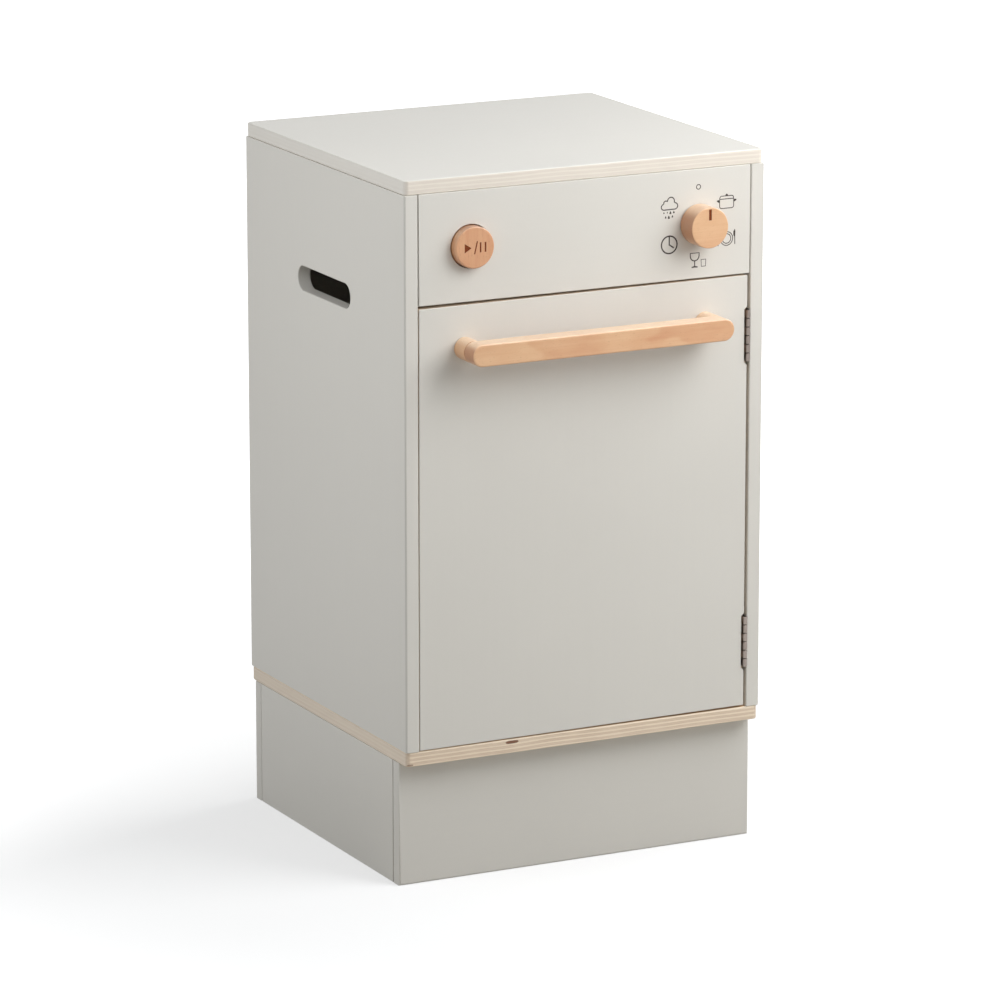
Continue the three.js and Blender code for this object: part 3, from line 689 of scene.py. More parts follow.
def worked_steel(name, base, grain_axis, roughness):
    """Plated steel with drawn lines, stains and scratches."""
    finish = Finish(name)
    drawn = finish.noise(finish.stretched(finish.point, along(grain_axis, 5200, 30)), 1, 3, 0.6)
    stain = finish.noise(finish.point, 240, 3, 0.6)
    scratch = finish.noise(finish.stretched(finish.point, along(grain_axis, 900, 0.2)), 1, 2)
    marks = finish.fade(scratch, 0.64, 0.7)
    share = 0.5 + (drawn - 0.5) * 0.7 + (stain - 0.5) * 1.3
    finish.set(
        Base_Color=finish.mix(share, shade(base, 0.72), shade(base, 1.18)),
        Metallic=1.0,
        Roughness=roughness + (stain - 0.5) * 0.3 + (drawn - 0.5) * 0.12 + marks * 0.08,
    )
    finish.bump(drawn * 0.6 + marks * 0.5, 0.015 * MM)
    return finish.material


def moulded_plastic(name):
    """Injection moulded plastic with a fine spark texture."""
    finish = Finish(name)
    spark = finish.noise(finish.point, 3200, 2, 0.6)
    flow = finish.noise(finish.point, 60, 2)
    base = colours().catch
    finish.set(
        Base_Color=finish.mix(0.5 + (flow - 0.5) + (spark - 0.5) * 0.5, shade(base, 0.95), base),
        Roughness=0.4 + (spark - 0.5) * 0.25,
        Subsurface_Weight=0.05,
    )
    finish.bump(spark, 0.02 * MM)
    return finish.material


def sintered_magnet(name):
    """A pressed ferrite magnet: dark, dull and grainy."""
    finish = Finish(name)
    grit = finish.noise(finish.point, 2800, 4, 0.7)
    base = colours().magnet
    finish.set(
        Base_Color=finish.mix(grit, shade(base, 0.6), shade(base, 1.6)),
        Roughness=0.5 + (grit - 0.5) * 0.4,
        Metallic=0.35,
    )
    finish.bump(grit, 0.03 * MM)
    return finish.material


def pale_floor(name):
    """A seamless studio floor that is white to the camera where no shadow falls, and behind the
    cabinet, where a glow is painted over the cabinet's shadow.
    """
    made = bpy.data.materials.new(name)
    made.use_nodes = True
    tree = Tree(made.node_tree)
    target = tree.nodes.new("ShaderNodeOutputMaterial")
    settings = studio()
    point = tree.node("ShaderNodeTexCoord", {}, {}, "Object")
    mottle = tree.noise(point, 7, 3)
    seen = tree.seen_directly()
    base = tree.mix(seen, settings.floor, settings.floor_shown)
    paper = tree.mix(mottle * 0.02, base, (0, 0, 0))
    diffuse = tree.node("ShaderNodeBsdfDiffuse", {}, {"Color": paper, "Roughness": 0.3})
    away = tree.node("ShaderNodeVectorMath", {"operation": "LENGTH"}, {0: point}, "Value")
    board_low, board_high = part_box("plinth_left_board")
    foot = Vector((board_low.x, board_high.y, 0))
    backwards = Vector((-math.sin(settings.shadow_edge), math.cos(settings.shadow_edge), 0))
    reach = tree.node(
        "ShaderNodeVectorMath", {"operation": "DOT_PRODUCT"}, {0: point, 1: backwards}, "Value",
    )
    # Painted light: the floor behind the cabinet glows over the cabinet's shadow
    behind = tree.fade(reach - foot.dot(backwards), BEHIND_START, BEHIND_END)
    far = tree.fade(away, FAR_START, FAR_END)
    added = far * settings.far_glow + behind * settings.back_glow + settings.floor_glow
    glow = tree.node("ShaderNodeEmission", {}, {"Strength": seen * added})
    both = tree.node("ShaderNodeAddShader", {}, {0: diffuse, 1: glow})
    tree.links.new(both.socket, target.inputs["Surface"])
    return made


FINISHES = {
    "paint": lambda name: satin_paint(name, colours().paint),
    "paint_across": lambda name: satin_paint(name, colours().paint, X),
    # A darker tone on the front and back plinth boards: painted shade under the base slab's
    # overhang
    "plinth_paint": lambda name: satin_paint(name, shade(colours().paint, 0.965), X),
    # Paler paint on the top slab's upward rims: a painted highlight
    "thin_paint": lambda name: satin_paint(name, shade(colours().paint, 1.12), X),
    # Darker paint on the side panels' outer roundings: a painted shade line along the corners
    "rim_paint": lambda name: satin_paint(name, shade(colours().paint, 0.84)),
    # The darker chamber paint is painted shade for the inside of the cabinet
    "chamber_paint": lambda name: satin_paint(name, colours().chamber),
    "veneer": lambda name: birch_veneer(name, colours().birch, X),
    "veneer_deep": lambda name: birch_veneer(name, colours().birch, Y),
    "bare_veneer": lambda name: birch_veneer(name, colours().birch_bare, X),
    # Pale birch on the base slab's upward rims: a painted highlight
    "sanded_rim": lambda name: birch_veneer(name, colours().birch_highlight, X),
    # The last number of a beech finish is its share of painted highlight on upward faces
    "beech_bar": lambda name: oiled_beech(name, X, 0.45, 130 * MM, 0.55),
    "beech_post": lambda name: oiled_beech(name, Y, 0.3, 0, 0.55),
    "beech_knob": lambda name: oiled_beech(name, X, 0.4, 0, 0.35),
    "beech_button": lambda name: oiled_beech(name, Z, 0.9, 0, 0.5),
    "beech_peg": lambda name: oiled_beech(name, Z, 0.4),
    "beech_batten": lambda name: oiled_beech(name, Y, 0.4),
    "burn": burnt_wood,
    "ink": printed_ink,
    "hinge": lambda name: worked_steel(name, colours().hinge, Z, 0.34),
    # The pin is much darker than the hinge: painted shade in the gaps between the knuckles, where
    # only the pin shows
    "pin": lambda name: worked_steel(name, shade(colours().hinge, 0.3), Z, 0.45),
    "screw": lambda name: worked_steel(name, colours().screw, Y, 0.3),
    "spring": lambda name: worked_steel(name, colours().spring, Y, 0.25),
    "catch_plastic": moulded_plastic,
    "magnet": sintered_magnet,
    "floor": pale_floor,
}


def material(name):
    """The material of a finish, made when it is first asked for."""
    return bpy.data.materials.get(name) or FINISHES[name](name)


def edge_material(node, axis, plies, knots=(), limed=0.0):
    """The edge finish of one plywood board, with its layers across an axis."""
    low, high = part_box(node)
    name = node + "_edge"
    return bpy.data.materials.get(name) or birch_edge(
        name, axis, low[axis], high[axis] - low[axis], plies, knots, limed,
    )


# Shapes

def add_box(shape, low, high):
    """Adds a closed box, from corner to corner, to a shape."""
    size = Matrix.Diagonal((*(high - low), 1))
    bmesh.ops.create_cube(shape, size=1, matrix=Matrix.Translation((low + high) / 2) @ size)


def box_shape(low, high):
    shape = bmesh.new()
    add_box(shape, low, high)
    return shape


def on_plane(element, axis, value):
    """Whether all of an edge or a face lies in a plane across an axis."""
    return all(abs(vert.co[axis] - value) < TOUCH for vert in element.verts)


def edges_along(shape, axis):
    """The straight edges that run along an axis."""
    found = []
    for edge in shape.edges:
        way = edge.verts[1].co - edge.verts[0].co
        if abs(way[axis]) > way.length - TOUCH:
            found.append(edge)
    return found


def edges_on(shape, axis, *values):
    """The edges that lie in one of the planes across an axis."""
    return [e for e in shape.edges if any(on_plane(e, axis, value) for value in values)]


def ease(shape, edges, width, segments=EASING_STEPS):
    """Rounds edges over."""
    bmesh.ops.bevel(
        shape, geom=edges, offset=width, offset_type="OFFSET", segments=segments, profile=0.5,
        affect="EDGES", clamp_overlap=True, material=-1,
    )
    shape.normal_update()


def arc(centre_out, centre_along, radius, start, end, steps=ARC_STEPS):
    """Points of a profile round a centre, with its angles in degrees."""
    points = []
    for step in range(steps + 1):
        angle = math.radians(start + (end - start) * step / steps)
        out, up = radius * math.cos(angle), radius * math.sin(angle)
        points.append((centre_out + out, centre_along + up))
    return points


def hole_profile(radius, rounding, half_depth):
    """The wall of a hole, from one rounded rim to the other."""
    out, rim = radius + rounding, half_depth - rounding
    return arc(out, -rim, rounding, 270, 180) + arc(out, rim, rounding, 180, 90)


def rod_profile(radius, rounding, half_length):
    """The side of a rod, from one rounded rim to the other."""
    out, rim = radius - rounding, half_length - rounding
    return arc(out, -rim, rounding, 270, 360) + arc(out, rim, rounding, 0, 90)


def sweep(shape, profile, centre, axis, run=Vector(), steps=TURNED_STEPS):
    """Sweeps a profile of (out, along) points round an axis, or round both ends of a slot."""
    spoke = run.cross(axis).normalized() if run.length else axis.orthogonal().normalized()
    verts = [shape.verts.new(centre + run + spoke * out + axis * up) for out, up in profile]
    line = verts + [shape.edges.new(pair) for pair in zip(verts, verts[1:])]
    turn = {"axis": axis, "dvec": (0, 0, 0), "use_duplicate": False}
    if not run.length:
        bmesh.ops.spin(
            shape, geom=line, cent=centre, angle=FULL_TURN, steps=steps, use_merge=True, **turn,
        )
    for end in (run, -run) if run.length else ():
        turned = bmesh.ops.spin(
            shape, geom=line, cent=centre + end, angle=HALF_TURN, steps=steps // 2,
            use_merge=False, **turn,
        )
        last = [g for g in turned["geom_last"] if isinstance(g, bmesh.types.BMEdge)]
        drawn = bmesh.ops.extrude_edge_only(shape, edges=last)["geom"]
        line = [g for g in drawn if not isinstance(g, bmesh.types.BMFace)]
        moved = [g for g in line if isinstance(g, bmesh.types.BMVert)]
        edges = [g for g in line if isinstance(g, bmesh.types.BMEdge)]
        bmesh.ops.translate(shape, verts=moved, vec=-2 * end)
        line = moved + [e for e in edges if all(v in moved for v in e.verts)]
    bmesh.ops.remove_doubles(shape, verts=shape.verts, dist=WELD)


def open_faces(shape, axis, low, high):
    """Takes a board's two broad faces away, to fill them again round its holes."""
    broad = [f for f in shape.faces if on_plane(f, axis, low) or on_plane(f, axis, high)]
    bmesh.ops.delete(shape, geom=broad, context="FACES_ONLY")


def open_rim(shape, axis, value):
    """The open edges in a plane across an axis."""
    return [edge for edge in edges_on(shape, axis, value) if edge.is_boundary]


def close_faces(shape, axis, *values):
    """Fills a board's open faces, in the planes across an axis, round its holes."""
    for value in values:
        bmesh.ops.triangle_fill(
            shape, edges=open_rim(shape, axis, value), use_beauty=True, use_dissolve=False,
            normal=AXES[axis],
        )


def drill(shape, axis, low, high, holes):
    """Cuts holes with rounded rims through a board, each (centre, run, radius, rounding)."""
    open_faces(shape, axis, low, high)
    for centre, run, radius, rounding in holes:
        centre[axis] = (low + high) / 2
        profile = hole_profile(radius, rounding, (high - low) / 2)
        sweep(shape, profile, centre, AXES[axis], run, HOLE_STEPS)
    close_faces(shape, axis, low, high)


def open_edges(shape):
    return [edge for edge in shape.edges if edge.is_boundary]


def cap(shape, edges):
    """Closes a flat rim with one face."""
    return bmesh.ops.edgeloop_fill(shape, edges=edges)["faces"]


def close_caps(shape, axis, *values):
    """Closes the open ends of a rod, in the planes across an axis, with one face each."""
    for value in values:
        cap(shape, open_rim(shape, axis, value))


def engrave(shape, rim, outlines, inwards, depth):
    """Fills a flat rim round some outlines and sinks what is inside them."""
    loops = []
    for outline in outlines:
        verts = [shape.verts.new(point) for point in outline]
        loops.append([shape.edges.new(pair) for pair in zip(verts, verts[1:] + verts[:1])])
    drawn = [edge for loop in loops for edge in loop]
    bmesh.ops.triangle_fill(shape, edges=rim + drawn, use_beauty=True, normal=-inwards)
    for loop in loops:
        sunk = bmesh.ops.extrude_edge_only(shape, edges=loop)["geom"]
        verts = [g for g in sunk if isinstance(g, bmesh.types.BMVert)]
        walls = [g for g in sunk if isinstance(g, bmesh.types.BMFace)]
        bmesh.ops.translate(shape, verts=verts, vec=inwards * depth)
        foot = [
            g for g in sunk
            if isinstance(g, bmesh.types.BMEdge) and all(v in verts for v in g.verts)
        ]
        for face in walls + cap(shape, foot):
            face.material_index = MARK


def mesh_from(shape, name):
    """The finished mesh of a shape, with its faces pointing out."""
    bmesh.ops.remove_doubles(shape, verts=shape.verts, dist=WELD)
    bmesh.ops.recalc_face_normals(shape, faces=shape.faces)
    mesh = bpy.data.meshes.new(name)
    shape.to_mesh(mesh)
    shape.free()
    return mesh


def put(name, data):
    """A new object in the scene."""
    made = bpy.data.objects.new(name, data)
    bpy.context.scene.collection.objects.link(made)
    return made


def carve(shape, cutter):
    """Cuts a closed shape out of another. The cut faces keep the cutter's finish."""
    blank = put("blank", mesh_from(shape, "blank"))
    tool = put("tool", mesh_from(cutter, "tool"))
    for item in (blank, tool):
        for _ in range(MOST_FINISHES):
            item.data.materials.append(None)
    cut = blank.modifiers.new("cut", "BOOLEAN")
    cut.operation = "DIFFERENCE"
    cut.solver = "EXACT"
    cut.object = tool
    result = bmesh.new()
    result.from_object(blank, bpy.context.evaluated_depsgraph_get())
    for item in (blank, tool):
        mesh = item.data
        bpy.data.objects.remove(item)
        bpy.data.meshes.remove(mesh)
    return result


def add_piece(name, shape, finishes, body, slot, *nodes, crease=30):
    """Adds a shape as a piece that rides on a body and stands for its nodes.

    Edges that turn by more than the crease, in degrees, stay sharp.
    """
    mesh = mesh_from(shape, name)
    for finish in finishes:
        mesh.materials.append(material(finish) if isinstance(finish, str) else finish)
    mesh.shade_smooth()
    mesh.set_sharp_from_angle(angle=math.radians(crease))
    piece = put(name, mesh)
    weighted = piece.modifiers.new("flat faces stay flat", "WEIGHTED_NORMAL")
    weighted.keep_sharp = True
    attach(piece, body)
    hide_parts(*nodes)
    return piece


def node_box(node, easing):
    """A box of a node's size with all its edges rounded."""
    shape = box_shape(*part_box(node))
    ease(shape, shape.edges[:], easing)
    return shape


def middle(node):
    low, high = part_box(node)
    return (low + high) / 2


def half_width(node):
    low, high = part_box(node)
    return (high.x - low.x) / 2


def bare_edges(shape, axis):
    """Gives a board's broad faces, across an axis, one finish and its edges another."""
    for face in shape.faces:
        face.material_index = FACE if abs(face.normal[axis]) > BROAD else EDGE


# Screws

def cross_outline(centre, across, up, reach, half):
    """The outline of a cross recess, with arms of a reach and a half width."""
    corner = [(reach, -half), (reach, half), (half, half)]
    points = []
    for quarter in range(4):
        turn = Matrix.Rotation(quarter * math.pi / 2, 2)
        points += [turn @ Vector(point) for point in corner]
    return [centre + across * point.x + up * point.y for point in points]


def screw_shape(node, axis, sign, countersunk):
    """A screw of a node's size, with a cross recess. It points along the axis, or against it."""
    low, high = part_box(node)
    way = AXES[axis] * sign
    side, top = [i for i in (X, Y, Z) if i != axis]
    head = (high[side] - low[side]) / 2
    reach = (high - low)[axis]
    front = (low + high) / 2 - way * (reach / 2)
    outline = FLAT_HEAD if countersunk else ROUND_HEAD
    profile = [(head * out, head * down) for out, down in outline]
    profile += [(head * SHANK, reach - head * POINT), (0, reach)]
    shape = bmesh.new()
    sweep(shape, profile, front, way, steps=SCREW_STEPS)
    cross = cross_outline(front, AXES[side], AXES[top], head * CROSS_REACH, head * CROSS_HALF)
    engrave(shape, open_edges(shape), [cross], way, head * CROSS_DEPTH)
    return shape


def add_screw(node, body, axis, sign, countersunk):
    shape = screw_shape(node, axis, sign, countersunk)
    add_piece(node + "_made", shape, ["screw", "screw"], body, "hinge_steel", node)


# Cabinet boards

def add_slab(name, node, upper, lower, knots=(), limed=0.0):
    """A slab with round upright corners, painted or veneered faces and bare plywood edges."""
    sizes = boards()
    low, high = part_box(node)
    shape = box_shape(low, high)
    ease(shape, edges_along(shape, Z), sizes.slab_corner, CORNER_STEPS)
    ease(shape, edges_on(shape, Z, low.z, high.z), sizes.edge_easing)
    for face in shape.faces:
        tilt = face.normal.z
        if tilt > LEVEL:
            face.material_index = FACE
        elif tilt < -LEVEL:
            face.material_index = UNDERSIDE
        else:
            face.material_index = RIM if tilt > RIM_TILT else EDGE
    edge = edge_material(node, Z, sizes.plies, knots, limed)
    # The upward rims take a paler finish: a painted highlight
    rim = "thin_paint" if upper.startswith("paint") else "sanded_rim"
    add_piece(name, shape, [upper, edge, rim, lower], "cabinet", "painted_plywood", node)


def add_side(name, node):
    """A side panel with round upright edges and a hand slot."""
    sizes = boards()
    low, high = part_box(node)
    shape = box_shape(low, high)
    outside = low.x if low.x < 0 else high.x
    inside = low.x + high.x - outside
    for plane, rounding, steps in (
        (outside, sizes.side_rounding, ARC_STEPS), (inside, sizes.lip_rounding, EASING_STEPS),
    ):
        corners = [edge for edge in edges_along(shape, Z) if on_plane(edge, X, plane)]
        ease(shape, corners, rounding, steps)
    ease(shape, edges_on(shape, Z, low.z, high.z), sizes.joint_easing, FINE_STEPS)
    # The slanted faces of the outer roundings take the darker paint: a painted shade line along the
    # corners
    for face in shape.faces:
        upright = abs(face.normal.z) < UPRIGHT
        slanted = upright and abs(face.normal.x * face.normal.y) > UPRIGHT
        if slanted and abs(face.calc_center_median().x - outside) < sizes.side_rounding:
            face.material_index = EDGE
    slot_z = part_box("control_panel")[0].z - sizes.slot_drop
    radius = sizes.slot_height / 2
    run = AXES[Y] * (sizes.slot_length / 2 - radius)
    centre = Vector((0, (low.y + high.y) / 2, slot_z))
    drill(shape, X, low.x, high.x, [(centre, run, radius, sizes.slot_rounding)])
    add_piece(name, shape, ["paint", "rim_paint"], "cabinet", "painted_plywood", node)


def add_control_panel():
    """The control panel, with round holes for the start button and the knob's neck."""
    sizes, turned = boards(), turnings()
    low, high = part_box("control_panel")
    gap = AXES[X] * sizes.panel_gap
    shape = box_shape(low + gap, high - gap)
    ease(shape, edges_on(shape, Y, low.y, high.y), sizes.panel_easing)
    button_radius = half_width("start_button") + turned.button_gap
    neck_radius = turned.knob_neck / 2 + turned.knob_neck_gap
    holes = [
        (middle("start_button"), Vector(), button_radius, sizes.hole_rounding),
        (middle("program_knob"), Vector(), neck_radius, sizes.hole_rounding),
    ]
    drill(shape, Y, low.y, high.y, holes)
    finishes = ["paint_across"]
    add_piece("control_face", shape, finishes, "cabinet", "painted_plywood", "control_panel")


def add_board(name, node, axis, face_finish, slot, easing, edge=None, end_gap=0.0):
    """A plain board: its broad faces have one finish, and its edges the same or bare plywood.

    It may stop short of its node's ends along Y, by a gap.
    """
    low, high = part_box(node)
    shape = box_shape(low + AXES[Y] * end_gap, high - AXES[Y] * end_gap)
    ease(shape, edges_on(shape, axis, low[axis], high[axis]), easing)
    if edge:
        bare_edges(shape, axis)
    finishes = [face_finish, edge] if edge else [face_finish]
    add_piece(name, shape, finishes, "cabinet", slot, node)


# Handle, button, knob and pegs

def add_handle_bar():
    """The handle's rail, with round ends."""
    low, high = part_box("handle_bar")
    easing = turnings().handle_easing
    radius = (high.z - low.z) / 2
    run = AXES[X] * ((high.x - low.x) / 2 - radius)
    shape = bmesh.new()
    profile = rod_profile(radius, easing, (high.y - low.y) / 2)
    sweep(shape, profile, (low + high) / 2, AXES[Y], run)
    close_caps(shape, Y, low.y, high.y)
    add_piece("handle_rail", shape, ["beech_bar"], "door", "beech", "handle_bar")


def add_handle_post(side):
    node = "handle_post_" + side
    low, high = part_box(node)
    shape = bmesh.new()
    profile = rod_profile((high.z - low.z) / 2, turnings().post_easing, (high.y - low.y) / 2)
    sweep(shape, profile, (low + high) / 2, AXES[Y])
    close_caps(shape, Y, low.y, high.y)
    add_piece(node + "_made", shape, ["beech_post"], "door", "beech", node)


def add_button_cap():
    """The start button: a play triangle, a stroke and a pause sign are burnt into its face."""
    low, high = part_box("start_button")
    centre = (low + high) / 2
    radius = (high.z - low.z) / 2
    rounding = turnings().button_rounding
    face = Vector((centre.x, low.y, centre.z))
    depth = high.y - low.y
    profile = arc(radius - rounding, rounding, rounding, 270, 360)
    profile += [(radius, depth - THIN_EASING), (radius - THIN_EASING, depth), (0, depth)]
    shape = bmesh.new()
    sweep(shape, profile, face, AXES[Y])
    outlines = [[face + Vector((x, 0, z)) * MM for x, z in mark] for mark in START_MARKS]
    engrave(shape, open_edges(shape), outlines, AXES[Y], turnings().mark_depth)
    finishes = ["beech_button", "burn"]
    add_piece("button_cap", shape, finishes, "button", "beech", "start_button")


def add_knob():
    """The programme knob, turned in one with its neck, with a burnt line to read it by."""
    sizes = turnings()
    low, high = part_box("program_knob")
    centre = (low + high) / 2
    radius = (high.z - low.z) / 2
    rounding = sizes.knob_rounding
    neck = sizes.knob_neck / 2
    face = Vector((centre.x, low.y, centre.z))
    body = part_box("control_panel")[0].y - KNOB_STANDOFF - low.y
    profile = arc(radius - rounding, rounding, rounding, 270, 360)
    profile += arc(radius - rounding, body - rounding, rounding, 0, 90)
    profile += [(neck, body), (neck, high.y - low.y), (0, high.y - low.y)]
    shape = bmesh.new()
    sweep(shape, profile, face, AXES[Y])
    half = sizes.pointer_width / 2
    top = radius - rounding - sizes.pointer_margin
    foot = top - sizes.pointer_length
    corners = [(-half, foot), (half, foot), (half, top), (-half, top)]
    pointer = [face + Vector((x, 0, z)) for x, z in corners]
    engrave(shape, open_edges(shape), [pointer], AXES[Y], sizes.mark_depth)
    add_piece("knob_turned", shape, ["beech_knob", "burn"], "knob", "beech", "program_knob")


def add_peg(node):
    """One peg of the plate rack, with a round top."""
    low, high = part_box(node)
    radius = half_width(node)
    rounding = turnings().peg_rounding
    tall = high.z - low.z
    foot = Vector((*((low + high) / 2).xy, low.z))
    profile = [(0, 0), (radius - THIN_EASING, 0), (radius, THIN_EASING)]
    profile += arc(radius - rounding, tall - rounding, rounding, 0, 90) + [(0, tall)]
    shape = bmesh.new()
    sweep(shape, profile, foot, AXES[Z], steps=SCREW_STEPS)
    add_piece(node + "_made", shape, ["beech_peg"], "cabinet", "beech", node)


def add_rod(node, axis, finish, body, slot, easing):
    """A plain round rod of a node's size."""
    low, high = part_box(node)
    across = (axis + 1) % 3
    shape = bmesh.new()
    profile = rod_profile((high[across] - low[across]) / 2, easing, (high[axis] - low[axis]) / 2)
    sweep(shape, profile, (low + high) / 2, AXES[axis], steps=SCREW_STEPS)
    close_caps(shape, axis, low[axis], high[axis])
    add_piece(node + "_made", shape, [finish], body, slot, node)


def add_spring():
    """The return spring: one helix of wire."""
    low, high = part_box("button_spring")
    steps = round(SPRING_TURNS * COIL_STEPS)
    radius = (high.z - low.z) / 2 - SPRING_WIRE
    centre = (low + high) / 2
    start = Vector((centre.x + radius, low.y + SPRING_WIRE, centre.z))
    shape = bmesh.new()
    bmesh.ops.create_circle(
        shape, cap_ends=True, segments=WIRE_STEPS, radius=SPRING_WIRE,
        matrix=Matrix.Translation(start),
    )
    rise = (high.y - low.y - 2 * SPRING_WIRE) / steps
    bmesh.ops.spin(
        shape, geom=shape.verts[:] + shape.edges[:] + shape.faces[:], cent=centre, axis=AXES[Y],
        dvec=(0, rise, 0), angle=SPRING_TURNS * FULL_TURN, steps=steps, use_merge=False,
        use_duplicate=False,
    )
    piece = add_piece(
        "return_spring", shape, ["spring"], "button", "spring_steel", "button_spring", crease=60,
    )
    press = next(joint for joint in frame["joints"] if joint["name"] == "button_press")
    travel = press["range_m"][1]
    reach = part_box("button_guide")[1].y - GUIDE_WALL - low.y
    (reach - travel) / reach
    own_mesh(piece)


def add_guide():
    """The guide block behind the start button, bored for the spring and the stem."""
    low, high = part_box("button_guide")
    sizes = boards()
    shape = box_shape(low, high)
    ease(shape, edges_along(shape, Y), sizes.inner_easing)
    ease(shape, edges_on(shape, Y, high.y), sizes.inner_easing)
    chamber = half_width("start_button") + turnings().button_gap
    bore = half_width("button_stem") + STEM_GAP
    floor_y = high.y - GUIDE_WALL
    profile = [
        (0, low.y - OVERCUT), (chamber, low.y - OVERCUT), (chamber, floor_y),
        (bore, floor_y), (bore, high.y + OVERCUT), (0, high.y + OVERCUT),
    ]
    centre = (low + high) / 2
    tool = bmesh.new()
    sweep(tool, profile, Vector((centre.x, 0, centre.z)), AXES[Y], steps=HOLE_STEPS)
    shape = carve(shape, tool)
    bare_edges(shape, Y)
    finishes = ["veneer", edge_material("button_guide", Y, sizes.plies + 2)]
    add_piece("spring_block", shape, finishes, "cabinet", "lacquered_plywood", "button_guide")


# Door

def hinge_notches():
    """The mortises for the door leaves, and the shallow clearance beside each barrel."""
    sizes = fittings()
    low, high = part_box("door_panel")
    mortises, reliefs = bmesh.new(), bmesh.new()
    near, right = low.y - OVERCUT, high.x + OVERCUT
    for level in ("upper", "lower"):
        leaf_low, leaf_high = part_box(level + "_hinge_door_leaf")
        gap = sizes.mortise_gap
        corner = Vector((leaf_low.x, near, leaf_low.z - gap))
        far = Vector((right, high.y + OVERCUT, leaf_high.z + gap))
        add_box(mortises, corner, far)
        left = leaf_low.x - sizes.relief_width
        rise = right - left
        foot, top = leaf_low.z - sizes.relief_gap, leaf_high.z + sizes.relief_gap
        outline = [(left, foot), (right, foot - rise), (right, top + rise), (left, top)]
        face = reliefs.faces.new([reliefs.verts.new((x, near, z)) for x, z in outline])
        drawn = bmesh.ops.extrude_face_region(reliefs, geom=[face], use_keep_orig=True)["geom"]
        moved = [g for g in drawn if isinstance(g, bmesh.types.BMVert)]
        bmesh.ops.translate(reliefs, verts=moved, vec=(0, OVERCUT + sizes.relief_depth, 0))
    for tool in (mortises, reliefs):
        for face in tool.faces:
            face.material_index = EDGE
    return mortises, reliefs


def hang(shape, low, high):
    """Lets the door's free side sag, and its foot lean to the left, so that the gaps taper."""
    sizes = boards()
    for vert in shape.verts:
        free = (high.x - vert.co.x) / (high.x - low.x)
        foot = (high.z - vert.co.z) / (high.z - low.z)
        vert.co.x -= sizes.door_lean * free * foot
        vert.co.z += sizes.door_sag * (SAG_PIVOT - free)


def add_door_panel():
    """The door board, hung and notched for its hinges."""
    sizes = boards()
    low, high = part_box("door_panel")
    shape = box_shape(low, high)
    ease(shape, edges_along(shape, Y), sizes.panel_easing, FINE_STEPS)
    ease(shape, edges_on(shape, Y, low.y, high.y), sizes.door_easing)
    for face in shape.faces:
        if abs(face.normal.y) < UPRIGHT:
            face.material_index = EDGE
    hang(shape, low, high)
    for tool in hinge_notches():
        shape = carve(shape, tool)
    edge = edge_material("door_panel", Y, sizes.plies)
    add_piece("door_board", shape, ["paint", edge], "door", "painted_plywood", "door_panel")


# Hinges and catch

def cut_strip(shape, plate_y, heights):
    """Cuts a plate's front edge across at some heights, so that parts of it can be rolled."""
    for height in heights:
        strip = [f for f in shape.faces if on_plane(f, Y, plate_y)]
        around = {e for f in strip for e in f.edges} | {v for f in strip for v in f.verts}
        bmesh.ops.bisect_plane(
            shape, geom=strip + list(around), plane_co=(0, 0, height), plane_no=AXES[Z],
        )


def roll_knuckle(shape, plate_y, height, reach, pin, angle):
    """Rolls the part of a plate's front edge at a height round the hinge's pin."""
    face = next(
        f for f in shape.faces
        if on_plane(f, Y, plate_y) and abs(f.calc_center_median().z - height) < reach
    )
    grown = bmesh.ops.extrude_discrete_faces(shape, faces=[face])["faces"]
    bmesh.ops.translate(shape, verts=grown[0].verts[:], vec=(0, pin.y - plate_y, 0))
    bmesh.ops.spin(
        shape, geom=grown, cent=pin, axis=AXES[Z], dvec=(0, 0, 0), angle=angle, steps=ROLL_STEPS,
        use_merge=False, use_duplicate=False,
    )


def add_hinge_leaf(level, side):
    """One leaf: a drilled plate whose front edge is rolled into every other knuckle.

    A side of 1 is the cabinet's leaf, and -1 the door's.
    """
    sizes = fittings()
    body = "cabinet" if side > 0 else "door"
    node = f"{level}_hinge_{body}_leaf"
    low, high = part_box(node)
    pin = middle(f"{level}_hinge_pin")
    radius = half_width(node)
    outer, inner = pin.x + side * radius, pin.x + side * (radius - sizes.leaf)
    plate_y = pin.y + radius + sizes.knuckle_gap
    left, right = min(outer, inner), max(outer, inner)
    shape = box_shape(Vector((left, plate_y, low.z)), Vector((right, high.y, high.z)))
    corners = [e for e in edges_along(shape, X) if e.verts[0].co.y > high.y - TOUCH]
    ease(shape, corners, sizes.leaf_corner, ARC_STEPS)
    holes = []
    for number in (1, 2):
        screw_low, screw_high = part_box(f"{level}_hinge_{body}_screw_{number}")
        centre = (screw_low + screw_high) / 2
        hole = (screw_high.z - screw_low.z) / 2 + SCREW_HOLE_GAP
        holes.append((centre, Vector(), hole, SCREW_HOLE_ROUNDING))
    drill(shape, X, left, right, holes)
    knuckle = (high.z - low.z) / sizes.knuckles
    gap = sizes.knuckle_gap / 2
    bottoms = [low.z + number * knuckle for number in range(sizes.knuckles)]
    for bottom in bottoms:
        cut_strip(shape, plate_y, (bottom + gap, bottom + knuckle - gap))
    first = 0 if side > 0 else 1
    for bottom in bottoms[first::2]:
        height = bottom + knuckle / 2
        roll_knuckle(shape, plate_y, height, knuckle / 4, pin, -side * KNUCKLE_ROLL)
    bmesh.ops.remove_doubles(shape, verts=shape.verts, dist=WELD)
    ends = [
        edge for edge in shape.edges
        if abs(edge.verts[0].co.z - edge.verts[1].co.z) < TOUCH
        and all(abs((v.co - pin).xy.length - radius) < TOUCH * 5 for v in edge.verts)
        and all(v.co.y < plate_y - TOUCH for v in edge.verts)
    ]
    ease(shape, ends, sizes.knuckle_easing, 1)
    add_piece(node + "_made", shape, ["hinge"], body, "hinge_steel", node, crease=40)


